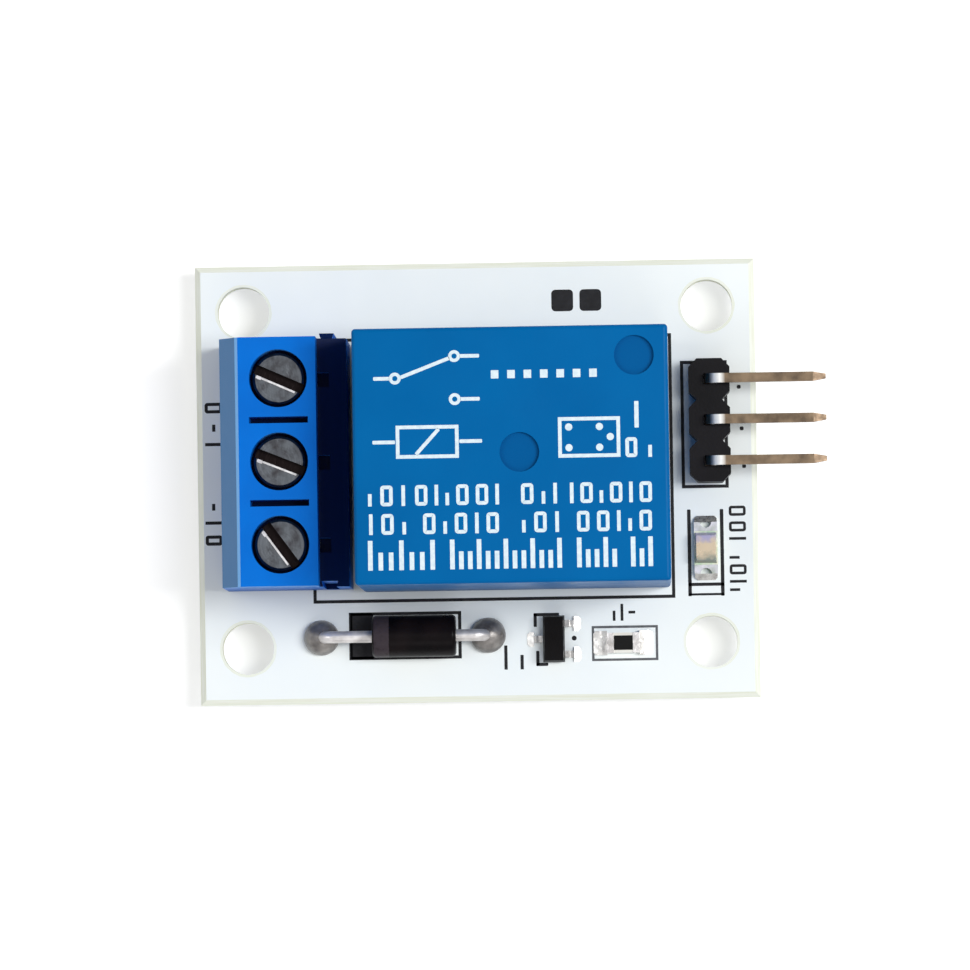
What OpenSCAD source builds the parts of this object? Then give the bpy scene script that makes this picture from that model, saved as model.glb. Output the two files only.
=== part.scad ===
// Single-channel relay module board: a white circuit board that carries a three-way screw
// terminal block, a cube relay with its magnet and contacts, a bent pin header, a flyback
// diode, a driver transistor, a chip resistor and an indicator lamp.
// Millimetres. Origin: centre of the mounting holes on the underside of the board, +Z up.

/* [Board] */
// Board thickness
board_t = 1.6; // [1.2:0.1:2.4]
// Board width along Y
board_w = 27.3; // [26.8:0.1:34]
// Bevel left along the edges where the board was snapped out of its panel
edge_bevel = 0.35; // [0.1:0.05:0.5]
// Mounting hole diameter
hole_d = 3.2; // [2.2:0.1:3.4]
// Mounting hole centre to the short edges
hole_inset_x = 3.0; // [2.5:0.1:3.5]
// Mounting hole centre to the long edges
hole_inset_y = 3.2; // [2.6:0.1:3.5]
// Middle of the board along Y, from the middle of its four holes
board_shift = -0.3; // [-0.5:0.05:0.5]
// Length of every cropped pin below the board
pin_stub = 1.5; // [1.2:0.1:3]
// Gap left round a pin in its drilled hole, filled with solder
drill_gap = 0.18; // [0.1:0.01:0.25]
// Clearance between pieces that are pressed or set into each other
seat_gap = 0.05; // [0.02:0.01:0.08]

/* [Terminal block] */
// Board edge to the front of the terminal block
block_setback = 1.85; // [0.5:0.05:3]
// Terminal block centre, from the middle of the mounting holes
block_y = 0.75; // [-1:0.05:1.2]
// Depth of the block, front to rear
block_depth = 7.75; // [7.5:0.05:9]
// Height of the block above the board
block_h = 10; // [9.8:0.1:12]
// Distance between poles
pole_pitch = 5.08; // [5:0.01:5.4]
// Width of the sloping strip above the wire entries
brow_w = 1.2; // [0.6:0.05:1.4]
// Height of that strip
brow_h = 1.9; // [1:0.1:2.4]
// Depth of the low ledge at the rear
ledge_depth = 1.8; // [1.2:0.1:1.9]
// Drop from the top to the ledge
ledge_drop = 2.6; // [1.5:0.1:3]
// Screw axis behind the block's front face
screw_setback = 3.65; // [3.4:0.05:3.8]

/* [Clamps] */
// Clamp screw thread diameter
screw_d = 2.5; // [2:0.1:2.6]
// Clamp screw head diameter
head_d = 3.15; // [2.8:0.05:3.2]
// Clamp screw head thickness
head_t = 1.3; // [1:0.1:1.6]
// Screw slot width
slot_w = 0.6; // [0.4:0.05:0.8]
// Screw slot depth
slot_depth = 0.7; // [0.4:0.05:0.9]
// Depth of the screw head below the top of the block
head_recess = 0.8; // [0.4:0.05:1]
// Radial gap round the screw head in its well
well_gap = 0.2; // [0.1:0.05:0.3]
// Radial gap between screw and thread or neck
thread_gap = 0.06; // [0.02:0.01:0.1]
// Travel of a clamp cage from open to shut
cage_travel = 1.8; // [1:0.1:1.8]
// Floor and top of the clamp cage
cage_wall = 0.7; // [0.5:0.05:0.8]
// Clamp cage width along the block
cage_w = 3.6; // [3.2:0.05:3.7]
// Clamp cage length along the wire
cage_l = 3.0; // [2.8:0.05:3.1]
// Thickness of the contact strip
strip_t = 0.6; // [0.4:0.05:0.65]
// Gap between a cage and the walls that guide it
cage_gap = 0.15; // [0.1:0.01:0.2]

/* [Relay case] */
// Terminal block to relay
relay_gap = 0.6; // [0.3:0.05:2]
// Relay centre, from the middle of the mounting holes
relay_y = 0.7; // [-0.5:0.1:1]
// Relay case length
relay_l = 19.1; // [19:0.1:22]
// Relay case width
relay_w = 15.5; // [15.3:0.1:17]
// Relay case height
relay_h = 15.5; // [15.4:0.1:17]
// Thickness of the case walls
case_wall = 0.9; // [0.6:0.05:0.95]
// Thickness of the case top
case_top = 1.0; // [0.6:0.05:1]
// Rounding of the case edges
case_r = 0.25; // [0.2:0.05:0.8]
// Diameter of the two moulding dimples
dimple_d = 2.4; // [1.5:0.1:3]
// Depth of the dimples
dimple_depth = 0.3; // [0.1:0.05:0.4]

/* [Relay works] */
// Case end to the common pin
common_inset = 2.3; // [2.2:0.05:2.4]
// Common pin to the coil pins, along the case
coil_pin_step = 2.0; // [1.9:0.05:2.1]
// Other case end to the fixed contact pins
contact_inset = 2.6; // [2.5:0.05:2.8]
// Centre line to the outer pins
pin_half_span = 6.0; // [5.8:0.05:6.05]
// Magnet frame strip thickness
yoke_t = 1.2; // [0.9:0.05:1.25]
// Magnet frame width
yoke_w = 10; // [8:0.1:10.2]
// Bobbin flange side
flange_w = 10.2; // [9.6:0.1:10.4]
// Bobbin flange thickness
flange_t = 0.8; // [0.5:0.05:0.9]
// Winding outer diameter
coil_d = 9.4; // [8:0.1:9.6]
// Winding length
coil_l = 5.2; // [4.5:0.1:5.3]
// Core diameter
core_d = 4.0; // [3:0.1:4.4]
// Pole face diameter
pole_d = 7.0; // [6:0.1:7.4]
// Armature thickness
armature_t = 1.0; // [0.8:0.05:1.05]
// Armature width
armature_w = 9; // [6:0.1:9.5]
// Armature gap above the pole face when released
air_gap = 0.45; // [0.42:0.01:0.6]
// Contact spring thickness
leaf_t = 0.15; // [0.1:0.01:0.2]
// Contact spring width
leaf_w = 4; // [3:0.1:5]
// Contact button diameter
button_d = 1.8; // [1.4:0.1:2]
// Contact button thickness
button_t = 0.4; // [0.3:0.05:0.45]
// Gap between open contacts
contact_gap = 0.56; // [0.55:0.01:0.7]
// Thickness of the fixed contact strips
contact_t = 0.4; // [0.3:0.05:0.45]

/* [Pin header] */
// Relay to pin header
header_gap = 1.3; // [0.5:0.1:3]
// Middle header pin, from the middle of the mounting holes
header_y = 3.2; // [1:0.05:4]
// Header pin spacing and body width
header_pitch = 2.54; // [2.5:0.01:2.6]
// Side of the square pins
pin_side = 0.58; // [0.5:0.01:0.7]
// Height of the level pins above the board
pin_level = 3.4; // [3.3:0.05:4]
// Length of the level pins from the header's centre
pin_reach = 7.2; // [5:0.1:9]
// Board edge to the header body
header_margin = 1.66; // [1:0.01:3]

/* [Diode] */
// Diode body centre, from the board's short edge
diode_x = 13.35; // [12.5:0.05:14]
// Diode row, from the board's long edge
diode_row = 4.1; // [3.6:0.05:4.3]
// Diode body diameter
diode_d = 2.6; // [2:0.1:2.7]
// Diode body length
diode_l = 5.2; // [4.2:0.1:5.3]
// Diode lead diameter
diode_lead_d = 0.75; // [0.5:0.05:0.85]
// Distance between the diode's holes
diode_span = 10.34; // [10:0.02:11]
// How far the body sits to the right of the middle of its holes
diode_shift = 0.6; // [0:0.05:0.8]

/* [Chip parts] */
// Transistor centre, from the board's short edge
transistor_x = 22; // [21.5:0.05:23]
// Transistor centre, from the board's long edge
transistor_row = 3.8; // [3.5:0.05:4]
// Transistor body length
transistor_l = 2.9; // [2.7:0.05:3.1]
// Transistor body width
transistor_w = 1.35; // [1.2:0.05:1.5]
// Transistor body height
transistor_h = 1.0; // [0.8:0.05:1.2]
// Resistor centre, from the board's short edge
resistor_x = 26.3; // [26:0.05:27.5]
// Resistor centre, from the board's long edge
resistor_row = 3.5; // [3.1:0.05:4]
// Resistor length
resistor_l = 2.0; // [1.6:0.05:2.2]
// Resistor width
resistor_w = 1.25; // [0.8:0.05:1.4]
// Resistor thickness
resistor_h = 0.5; // [0.35:0.05:0.6]
// Lamp centre below the middle of the mounting holes
lamp_drop = 4.65; // [4.3:0.05:6]
// Lamp centre, left of the header's pins
lamp_shift = 0.35; // [0:0.05:0.6]
// Lamp length
lamp_l = 3.2; // [3:0.05:3.4]
// Lamp width
lamp_w = 1.45; // [1.3:0.05:1.7]
// Lamp base thickness
lamp_base_t = 0.5; // [0.3:0.05:0.6]
// Lamp lens height above its base
lens_h = 0.6; // [0.4:0.05:0.8]

/* [Hidden] */

$fn = 48;
eps = 0.01;
poles = 3;

// Colours
WHITE_BOARD = [0.93, 0.95, 0.94];
BLOCK_BLUE = [0.0, 0.35, 0.78];
CASE_BLUE = [0.0, 0.36, 0.62];
STEEL = [0.55, 0.55, 0.55];
BRASS = [0.75, 0.62, 0.35];
TIN = [0.78, 0.78, 0.78];
SILVER = [0.86, 0.86, 0.88];
COPPER = [0.72, 0.38, 0.2];
BLACK = [0.08, 0.08, 0.08];
PIN_GOLD = [0.5, 0.45, 0.33];
CREAM = [0.92, 0.88, 0.75];

// Places along X, each worked out from its neighbour on the left
board_l = block_setback + block_depth + relay_gap + relay_l + header_gap
    + header_pitch + header_margin;
board_left = -board_l / 2;
board_low = board_shift - board_w / 2;
block_x = board_left + block_setback;
screw_x = block_x + screw_setback;
relay_x = block_x + block_depth + relay_gap;
header_x = relay_x + relay_l + header_gap + header_pitch / 2;

// Heights above the board, inside a terminal pole
block_l = poles * pole_pitch;
head_z = block_h - head_recess - head_t;
neck_t = 0.8;
chamber_top = head_z - seat_gap - neck_t;
cage_top = chamber_top - cage_travel - 0.1;
cage_h = 4.6;
cage_low = cage_top - cage_h;
bar_top = cage_top - cage_wall - 0.6;
bar_low = bar_top - strip_t;
screw_tip = bar_top + 0.15;
cage_side = (cage_w - screw_d) / 2 - thread_gap - seat_gap;
cage_open = cage_w - 2 * cage_side;
chamber_w = cage_w + 2 * cage_gap;
chamber_x = screw_x - cage_l / 2 - cage_gap;
leg_x = screw_x + cage_l / 2 + cage_gap;
chamber_rear = leg_x + strip_t + seat_gap;
chamber_l = chamber_rear - chamber_x;
bar_w = cage_open - 0.3;
block_pin_w = 1.0;
block_pin_x = leg_x + strip_t / 2;
entry_w = cage_open;
entry_low = cage_low + cage_wall;
entry_h = 2.9;
entry_flare = 0.45;
head_angles = [-24, -22, -54];
rib_w = 0.9;
rib_t = 0.3;
divider_l = 3.6;
divider_w = 0.4;
divider_depth = 3;
notch_w = 0.9;

// Heights above the board, inside the relay
base_low = 0.5;
base_t = 1.8;
yoke_low = base_low + base_t + seat_gap;
bobbin_low = yoke_low + yoke_t + seat_gap;
coil_low = bobbin_low + flange_t;
bobbin_top = coil_low + coil_l + flange_t;
pole_t = 0.8;
pole_top = bobbin_top + pole_t;
yoke_top = pole_top + air_gap - seat_gap;
armature_low = yoke_top + seat_gap;
leaf_low = armature_low + armature_t;
button_low = leaf_low - button_t;
button_top = leaf_low + leaf_t + button_t;

// Places along the relay, from its left end
common_x = relay_x + relay_l - common_inset;
yoke_x = common_x - yoke_t / 2;
contact_pin_x = relay_x + contact_inset;
coil_pin_x = common_x - coil_pin_step;
core_x = yoke_x - 0.4 - flange_w / 2;
core_reach = 4;
tube_wall = 0.8;
button_x = contact_pin_x + 1.1;
armature_x = core_x - core_reach;
armature_l = common_x + yoke_t / 2 - armature_x;
leaf_tail = 4;
rivet_d = 1.0;
rivet_step = 2.4;
relay_pin = 0.8;
coil_pin_d = 0.7;
contact_w = 2.4;

// Flat shapes

// Rectangle with round corners, lower left corner at the origin
module round_rect(l, w, r) {
    translate([r, 0]) square([l - 2 * r, w]);
    translate([0, r]) square([l, w - 2 * r]);
    for (x = [r, l - r], y = [r, w - r]) translate([x, y]) circle(r);
}

// Extrudes an X-Z outline along +Y over length l, from y = 0
module along_y(l) {
    translate([0, l, 0]) rotate([90, 0, 0]) linear_extrude(l) children();
}

// Extrudes a Y-Z outline along +X over length l, from x = 0
module along_x(l) {
    rotate([90, 0, 90]) linear_extrude(l) children();
}

// Block with all its upper and upright edges rounded, lower left front corner at the origin
module round_block(l, w, h, r) {
    intersection() {
        linear_extrude(h) round_rect(l, w, r);
        along_y(w) translate([0, -r]) round_rect(l, h + r, r);
        along_x(l) translate([0, -r]) round_rect(w, h + r, r);
    }
}

// Block whose four sides slope in above and below its parting line, centred in X and Y
module drafted_block(l, w, h, slope) {
    intersection() {
        translate([0, -w / 2, 0]) along_y(w) drafted_outline(l, h, slope);
        translate([-l / 2, 0, 0]) along_x(l) drafted_outline(w, h, slope);
    }
}

module drafted_outline(l, h, slope) {
    polygon([
        [-l / 2 + slope, 0], [l / 2 - slope, 0], [l / 2, h * 0.45],
        [l / 2 - slope, h], [-l / 2 + slope, h], [-l / 2, h * 0.45],
    ]);
}

// Places every pole of the terminal block, 1 at the +Y end
function pole_y(i) = block_y + pole_pitch * ((poles - 1) / 2 - (i - 1));

// Places every header pin, 1 at the +Y end
function header_pin_y(i) = header_y + header_pitch * (2 - i);

// Square pin upright about its own axis
module square_pin(side_x, side_y, low, high) {
    translate([-side_x / 2, -side_y / 2, low]) cube([side_x, side_y, high - low]);
}

// Drill size that leaves the solder gap at a pin's corners
function drill_for(side_x, side_y) = sqrt(side_x * side_x + side_y * side_y) + 2 * drill_gap;

block_drill = drill_for(block_pin_w, strip_t);
relay_drill = drill_for(relay_pin, relay_pin);
coil_drill = coil_pin_d + 2 * drill_gap;
header_drill = drill_for(pin_side, pin_side);
diode_drill = diode_lead_d + 2 * drill_gap;

diode_y = board_low + diode_row;
diode_mid = board_left + diode_x;
diode_hole_x = [
    diode_mid - diode_shift - diode_span / 2,
    diode_mid - diode_shift + diode_span / 2,
];
diode_z = board_t + diode_d / 2 + seat_gap;
lead_grip = 0.8;
bend_r = 0.8;
transistor_pos = [board_left + transistor_x, board_low + transistor_row, board_t];
resistor_pos = [board_left + resistor_x, board_low + resistor_row, board_t];
lamp_pos = [header_x - lamp_shift, -lamp_drop, board_t];

// Every drilled hole that takes a pin: [x, y, diameter]
PIN_HOLES = concat(
    [for (i = [1 : poles]) [block_pin_x, pole_y(i), block_drill]],
    [for (s = [-1, 1]) [contact_pin_x, relay_y + s * pin_half_span, relay_drill]],
    [for (s = [-1, 1]) [coil_pin_x, relay_y + s * pin_half_span, coil_drill]],
    [[common_x, relay_y, relay_drill]],
    [for (i = [1 : 3]) [header_x, header_pin_y(i), header_drill]],
    [for (x = diode_hole_x) [x, diode_y, diode_drill]]
);

// Board

module edge_bevels() {
    for (z = [0, board_t], y = [-1, 1]) {
        translate([0, board_shift + y * board_w / 2, z]) rotate([45, 0, 0])
            cube([board_l + 2, edge_bevel * sqrt(2), edge_bevel * sqrt(2)], center = true);
    }
    for (z = [0, board_t], x = [-1, 1]) {
        translate([x * board_l / 2, board_shift, z]) rotate([0, 45, 0])
            cube([edge_bevel * sqrt(2), board_w + 2, edge_bevel * sqrt(2)], center = true);
    }
}

module circuit_board() {
    color(WHITE_BOARD) difference() {
        translate([board_left, board_low, 0]) cube([board_l, board_w, board_t]);
        edge_bevels();
        for (x = [-1, 1], y = [-1, 1]) {
            translate([x * (board_l / 2 - hole_inset_x), y * (board_w / 2 - hole_inset_y), -1])
                cylinder(d = hole_d, h = board_t + 2);
        }
        for (hole = PIN_HOLES) {
            translate([hole[0], hole[1], -1]) cylinder(d = hole[2], h = board_t + 2);
        }
    }
}

// Solder

// Fillet below the board round a pin, thin at the pin and wide at the pad, and the plug
// that fills the hole above it. The children are the pin that it grips.
module pin_solder(drill) {
    pad_r = drill / 2 + 0.45;
    neck_r = drill / 2 - 0.12;
    drop = pin_stub * 0.8;
    steps = 5;
    difference() {
        union() {
            rotate_extrude() polygon(concat(
                [[0, 0], [0, -drop]],
                [for (i = [0 : steps])
                    let (a = 90 * i / steps)
                    [neck_r + (pad_r - neck_r) * (1 - cos(a)), -drop * (1 - sin(a)) - 0.05 * (1 - i / steps)]],
                [[pad_r, 0]]
            ));
            cylinder(d = drill - 0.04, h = board_t);
        }
        children();
    }
}

// Terminal block

module block_outline() {
    polygon([
        [0, 0], [block_depth, 0],
        [block_depth, block_h - ledge_drop - 0.3],
        [block_depth - ledge_depth, block_h - ledge_drop],
        [block_depth - ledge_depth, block_h],
        [brow_w, block_h], [0, block_h - brow_h],
    ]);
}

// Space for one cage, its contact and its screw, about the screw axis
module pole_chamber() {
    translate([-screw_setback + chamber_x - block_x, -chamber_w / 2, -eps])
        cube([chamber_l, chamber_w, chamber_top + eps]);
    cylinder(d = screw_d + 2 * thread_gap, h = block_h);
    translate([0, 0, head_z - seat_gap]) cylinder(d = head_d + 2 * well_gap, h = block_h);
}

// Mouth for the wire: a straight window that flares towards the front face
module wire_entry() {
    depth = chamber_x - block_x + 0.2;
    flare_l = 0.9;
    translate([-screw_setback - eps, -entry_w / 2, entry_low])
        cube([depth, entry_w, entry_h]);
    intersection() {
        translate([-screw_setback, -entry_w, 0]) along_y(2 * entry_w) polygon([
            [-eps, entry_low - entry_flare], [flare_l, entry_low],
            [flare_l, entry_low + entry_h], [-eps, entry_low + entry_h + entry_flare],
        ]);
        translate([-screw_setback, 0, 0]) linear_extrude(block_h) polygon([
            [-eps, -entry_w / 2 - entry_flare], [flare_l, -entry_w / 2],
            [flare_l, entry_w / 2], [-eps, entry_w / 2 + entry_flare],
        ]);
    }
}

module dovetail(w, t) {
    low = 1.5;
    linear_extrude(block_h - ledge_drop - low)
        polygon([[-w / 2 + 0.1, -eps], [w / 2 - 0.1, -eps], [w / 2, t], [-w / 2, t]]);
}

module terminal_housing() {
    front_y = block_y - block_l / 2;
    rib_x = block_x + block_depth - ledge_depth + rib_w / 2 + 0.15;
    color(BLOCK_BLUE) translate([0, 0, board_t]) {
        difference() {
            translate([block_x, front_y, 0]) along_y(block_l) block_outline();
            for (i = [1 : poles]) {
                translate([screw_x, pole_y(i), 0]) {
                    pole_chamber();
                    wire_entry();
                }
                translate([block_x + block_depth - ledge_depth, pole_y(i) - notch_w / 2,
                    block_h - ledge_drop - 1])
                    cube([notch_w * 0.8, notch_w, 2]);
            }
            for (i = [1 : poles - 1]) {
                translate([screw_x - divider_l / 2, (pole_y(i) + pole_y(i + 1) - divider_w) / 2,
                    block_h - divider_depth])
                    cube([divider_l, divider_w, divider_depth + 1]);
            }
            translate([rib_x, front_y, 1.5 - eps]) dovetail(rib_w + 0.1, rib_t + 0.05);
        }
        translate([rib_x, front_y + block_l, 1.5]) dovetail(rib_w, rib_t);
    }
}

module clamp_screw(i) {
    color(STEEL) translate([screw_x, pole_y(i), board_t]) rotate(head_angles[i - 1])
        difference() {
            union() {
                translate([0, 0, head_z]) cylinder(d = head_d, h = head_t - 0.15);
                translate([0, 0, head_z + head_t - 0.15])
                    cylinder(d1 = head_d, d2 = head_d - 0.3, h = 0.15);
                translate([0, 0, screw_tip + 0.3]) cylinder(d = screw_d, h = head_z - screw_tip - 0.3);
                translate([0, 0, screw_tip]) cylinder(d1 = screw_d - 0.6, d2 = screw_d, h = 0.3);
            }
            translate([-head_d, -slot_w / 2, head_z + head_t - slot_depth])
                cube([2 * head_d, slot_w, slot_depth + 1]);
        }
}

// Strip bent into a square ring, threaded in its top, that draws the wire up to the contact
module clamp_cage(i) {
    color(BRASS) translate([screw_x - cage_l / 2, pole_y(i) - cage_w / 2, board_t + cage_low])
        difference() {
            along_x(cage_l) difference() {
                round_rect(cage_w, cage_h, 0.35);
                translate([cage_side, cage_wall]) square([cage_open, cage_h - 2 * cage_wall]);
            }
            translate([cage_l / 2, cage_w / 2, cage_h - cage_wall - 1])
                cylinder(d = screw_d + 2 * thread_gap, h = cage_wall + 2);
            for (x = [-1, 0, 1]) {
                translate([cage_l / 2 + 0.8 * x, cage_w / 2 - 1, cage_wall]) rotate([0, 45, 0])
                    translate([-0.12, 0, -0.12]) cube([0.24, 2, 0.24]);
            }
        }
}

// Tinned strip: a bar over the wire, a leg behind the cage and the pin through the board
module terminal_contact(i) {
    foot_w = chamber_w - 2 * seat_gap;
    color(TIN) translate([0, pole_y(i), 0]) {
        translate([chamber_x + 0.1, -bar_w / 2, board_t + bar_low])
            cube([leg_x + strip_t - chamber_x - 0.1, bar_w, strip_t]);
        translate([leg_x, -bar_w / 2, board_t]) cube([strip_t, bar_w, bar_low + eps]);
        translate([leg_x, -foot_w / 2, board_t + 0.3]) cube([strip_t, foot_w, 1.2]);
        translate([block_pin_x, 0, 0]) square_pin(strip_t, block_pin_w, -pin_stub, board_t + 0.4);
    }
}

module block_solder() {
    color(SILVER) for (i = [1 : poles]) {
        translate([block_pin_x, pole_y(i), 0]) pin_solder(block_drill)
            square_pin(strip_t, block_pin_w, -pin_stub - 1, board_t + 1);
    }
}

// Relay case

module relay_cover() {
    color(CASE_BLUE) difference() {
        translate([relay_x, relay_y - relay_w / 2, board_t])
            round_block(relay_l, relay_w, relay_h, case_r);
        translate([relay_x + case_wall, relay_y - relay_w / 2 + case_wall, board_t - 1])
            cube([relay_l - 2 * case_wall, relay_w - 2 * case_wall, relay_h - case_top + 1]);
        for (spot = [[7.5, 5.9], [0.5, 0.15]]) {
            translate([relay_x + relay_l / 2 + spot[0], relay_y + spot[1],
                board_t + relay_h - dimple_depth])
                cylinder(d = dimple_d, h = dimple_depth + 1);
        }
    }
}

module relay_base() {
    edge = case_wall + seat_gap;
    slot = relay_pin + 2 * seat_gap;
    color(BLACK) translate([0, 0, board_t]) difference() {
        union() {
            translate([relay_x + edge, relay_y - relay_w / 2 + edge, base_low])
                cube([relay_l - 2 * edge, relay_w - 2 * edge, base_t]);
            for (x = [relay_x + edge + 0.8, relay_x + relay_l - edge - 0.8], y = [-1, 1]) {
                translate([x, relay_y + y * (pin_half_span - 2.4), 0])
                    cylinder(d = 1.2, h = base_low + eps);
            }
        }
        for (y = [-1, 1]) {
            translate([contact_pin_x, relay_y + y * pin_half_span, 0])
                square_pin(contact_w + 2 * seat_gap, contact_t + 2 * seat_gap,
                    base_low + base_t - 0.8, base_low + base_t + 1);
            translate([contact_pin_x, relay_y + y * pin_half_span, 0])
                square_pin(slot, contact_t + 2 * seat_gap, -1, base_low + base_t + 1);
            translate([coil_pin_x, relay_y + y * pin_half_span, -1])
                cylinder(d = coil_pin_d + 2 * seat_gap, h = base_t + 4);
        }
        translate([common_x, relay_y, 0]) square_pin(slot, slot, -1, base_low + base_t + 1);
    }
}

// Magnet frame: one steel strip folded once, with a hole that holds the core
module relay_yoke() {
    foot_l = yoke_x + yoke_t - armature_x;
    color(STEEL) translate([0, 0, board_t]) difference() {
        union() {
            translate([armature_x, relay_y - yoke_w / 2, yoke_low])
                cube([foot_l, yoke_w, yoke_t]);
            translate([yoke_x, relay_y - yoke_w / 2, yoke_low])
                cube([yoke_t, yoke_w, yoke_top - yoke_low]);
        }
        translate([core_x, relay_y, yoke_low - 1])
            cylinder(d = core_d - 1 + 2 * seat_gap, h = yoke_t + 2);
    }
}

module relay_core() {
    color(STEEL) translate([core_x, relay_y, board_t]) {
        translate([0, 0, yoke_low]) cylinder(d = core_d - 1, h = yoke_t + seat_gap + eps);
        translate([0, 0, yoke_low + yoke_t + seat_gap])
            cylinder(d = core_d, h = bobbin_top - bobbin_low + seat_gap);
        translate([0, 0, bobbin_top + seat_gap]) cylinder(d = pole_d, h = pole_t - seat_gap);
    }
}

module relay_bobbin() {
    tube_d = core_d + 2 * seat_gap + 2 * tube_wall;
    lug_w = 1.6;
    lug_y = pin_half_span + lug_w / 2 - 0.2;
    color(BLACK) translate([core_x, relay_y, board_t]) difference() {
        union() {
            for (z = [bobbin_low, bobbin_top - flange_t]) {
                translate([-flange_w / 2, -flange_w / 2, z])
                    linear_extrude(flange_t) round_rect(flange_w, flange_w, 0.8);
            }
            translate([0, 0, bobbin_low]) cylinder(d = tube_d, h = bobbin_top - bobbin_low);
            translate([coil_pin_x - core_x - lug_w / 2, -lug_y, bobbin_low])
                cube([lug_w, 2 * lug_y, flange_t]);
        }
        translate([0, 0, bobbin_low - 1]) cylinder(d = core_d + 2 * seat_gap, h = bobbin_top);
        for (y = [-1, 1]) {
            translate([coil_pin_x - core_x, y * pin_half_span, bobbin_low - 1])
                cylinder(d = coil_pin_d + 2 * seat_gap, h = flange_t + 2);
        }
    }
}

// Winding: a ring whose skin shows a few of its many turns
module relay_coil() {
    inner_r = core_d / 2 + tube_wall + 2 * seat_gap;
    turns = 16;
    pitch = (coil_l - 2 * seat_gap) / turns;
    color(COPPER) translate([core_x, relay_y, board_t + coil_low + seat_gap])
        rotate_extrude() polygon(concat(
            [[inner_r, 0]],
            [for (i = [0 : turns - 1], k = [0, 1])
                [coil_d / 2 - 0.08 * (1 - k), pitch * (i + k / 2)]],
            [[coil_d / 2 - 0.08, pitch * turns], [inner_r, pitch * turns]]
        ));
}

// Steel flap on the magnet frame's edge, with the two rivets that hold its contact spring
module relay_armature() {
    color(STEEL) translate([0, relay_y, board_t]) {
        difference() {
            translate([armature_x, -armature_w / 2, armature_low])
                cube([armature_l, armature_w, armature_t]);
            for (y = [-1, 1]) {
                translate([armature_x, y * armature_w / 2, armature_low - 1]) rotate(45)
                    cube([2, 2, 2 * armature_t + 4], center = true);
            }
        }
        for (y = [-1, 1]) {
            translate([core_x, y * rivet_step / 2, leaf_low - eps])
                cylinder(d = rivet_d, h = leaf_t + seat_gap + eps);
            translate([core_x, y * rivet_step / 2, leaf_low + leaf_t + seat_gap])
                cylinder(d1 = rivet_d + 0.6, d2 = rivet_d + 0.2, h = 0.3);
        }
    }
}

// Contact spring: one strip that lies on the armature and folds down behind the frame
module relay_leaf_spring() {
    rear_x = yoke_x + yoke_t + 0.12;
    nose_x = button_x - button_d / 2 - 0.1;
    color(BRASS) translate([0, relay_y, board_t + seat_gap / 2]) difference() {
        union() {
            translate([nose_x, -leaf_w / 2, leaf_low])
                cube([rear_x + leaf_t - nose_x, leaf_w, leaf_t]);
            translate([rear_x, -leaf_w / 2, leaf_low - leaf_tail])
                cube([leaf_t, leaf_w, leaf_tail + leaf_t]);
        }
        translate([button_x, 0, leaf_low - 1]) cylinder(d = button_d / 2 + seat_gap, h = 2);
        for (y = [-1, 1]) {
            translate([core_x, y * rivet_step / 2, leaf_low - 1])
                cylinder(d = rivet_d + 2 * seat_gap, h = 2);
        }
        translate([armature_x + 1.4, 0, leaf_low - 1]) cylinder(d = 1.4, h = 2);
    }
}

// Silver rivet through the end of the spring, with a button on either side
module relay_moving_contact() {
    color(SILVER) translate([button_x, relay_y, board_t]) {
        translate([0, 0, button_low]) cylinder(d = button_d, h = button_t);
        translate([0, 0, leaf_low - eps]) cylinder(d = button_d / 2 - seat_gap, h = leaf_t + seat_gap + 2 * eps);
        translate([0, 0, leaf_low + leaf_t + seat_gap]) cylinder(d = button_d, h = button_t - seat_gap);
    }
}

// Fixed contact: pin, upright beside the coil and an arm across to the moving contact.
// side is +1 or -1 in Y, face is the height of the button's face, up is +1 or -1.
module fixed_contact(side, face, up) {
    arm_low = up > 0 ? face - button_t - contact_t : face + button_t;
    button_from = up > 0 ? arm_low + contact_t - eps : face;
    upright_y = side * pin_half_span;
    arm_to = side * (pin_half_span + contact_t / 2);
    arm_from = -side * (button_d / 2 + 0.1);
    seat = base_low + base_t - 0.8 + seat_gap;
    translate([0, relay_y, board_t]) {
        translate([contact_pin_x, upright_y, 0])
            square_pin(relay_pin, contact_t, -board_t - pin_stub, seat + eps);
        translate([contact_pin_x, upright_y, 0])
            square_pin(contact_w, contact_t, seat, arm_low + contact_t);
        translate([contact_pin_x - contact_w / 2, min(arm_to, arm_from), arm_low])
            cube([button_x + button_d / 2 + 0.1 - contact_pin_x + contact_w / 2,
                abs(arm_to - arm_from), contact_t]);
        translate([button_x, 0, button_from]) cylinder(d = button_d, h = button_t + eps);
    }
}

module relay_open_contact() {
    color(BRASS) fixed_contact(-1, button_low - contact_gap, 1);
}

module relay_closed_contact() {
    color(BRASS) fixed_contact(1, button_top + seat_gap, -1);
}

module relay_common_pin() {
    color(BRASS) translate([common_x, relay_y, 0])
        square_pin(relay_pin, relay_pin, -pin_stub, board_t + yoke_low);
}

module relay_coil_pin(side) {
    color(TIN) translate([coil_pin_x, relay_y + side * pin_half_span, -pin_stub])
        cylinder(d = coil_pin_d, h = pin_stub + board_t + coil_low + 0.6);
}

module relay_solder() {
    color(SILVER) {
        for (y = [-1, 1]) {
            translate([contact_pin_x, relay_y + y * pin_half_span, 0]) pin_solder(relay_drill)
                square_pin(relay_pin, contact_t, -pin_stub - 1, board_t + 1);
            translate([coil_pin_x, relay_y + y * pin_half_span, 0]) pin_solder(coil_drill)
                translate([0, 0, -pin_stub - 1]) cylinder(d = coil_pin_d, h = pin_stub + board_t + 2);
        }
        translate([common_x, relay_y, 0]) pin_solder(relay_drill)
            square_pin(relay_pin, relay_pin, -pin_stub - 1, board_t + 1);
    }
}

// Pin header

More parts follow.
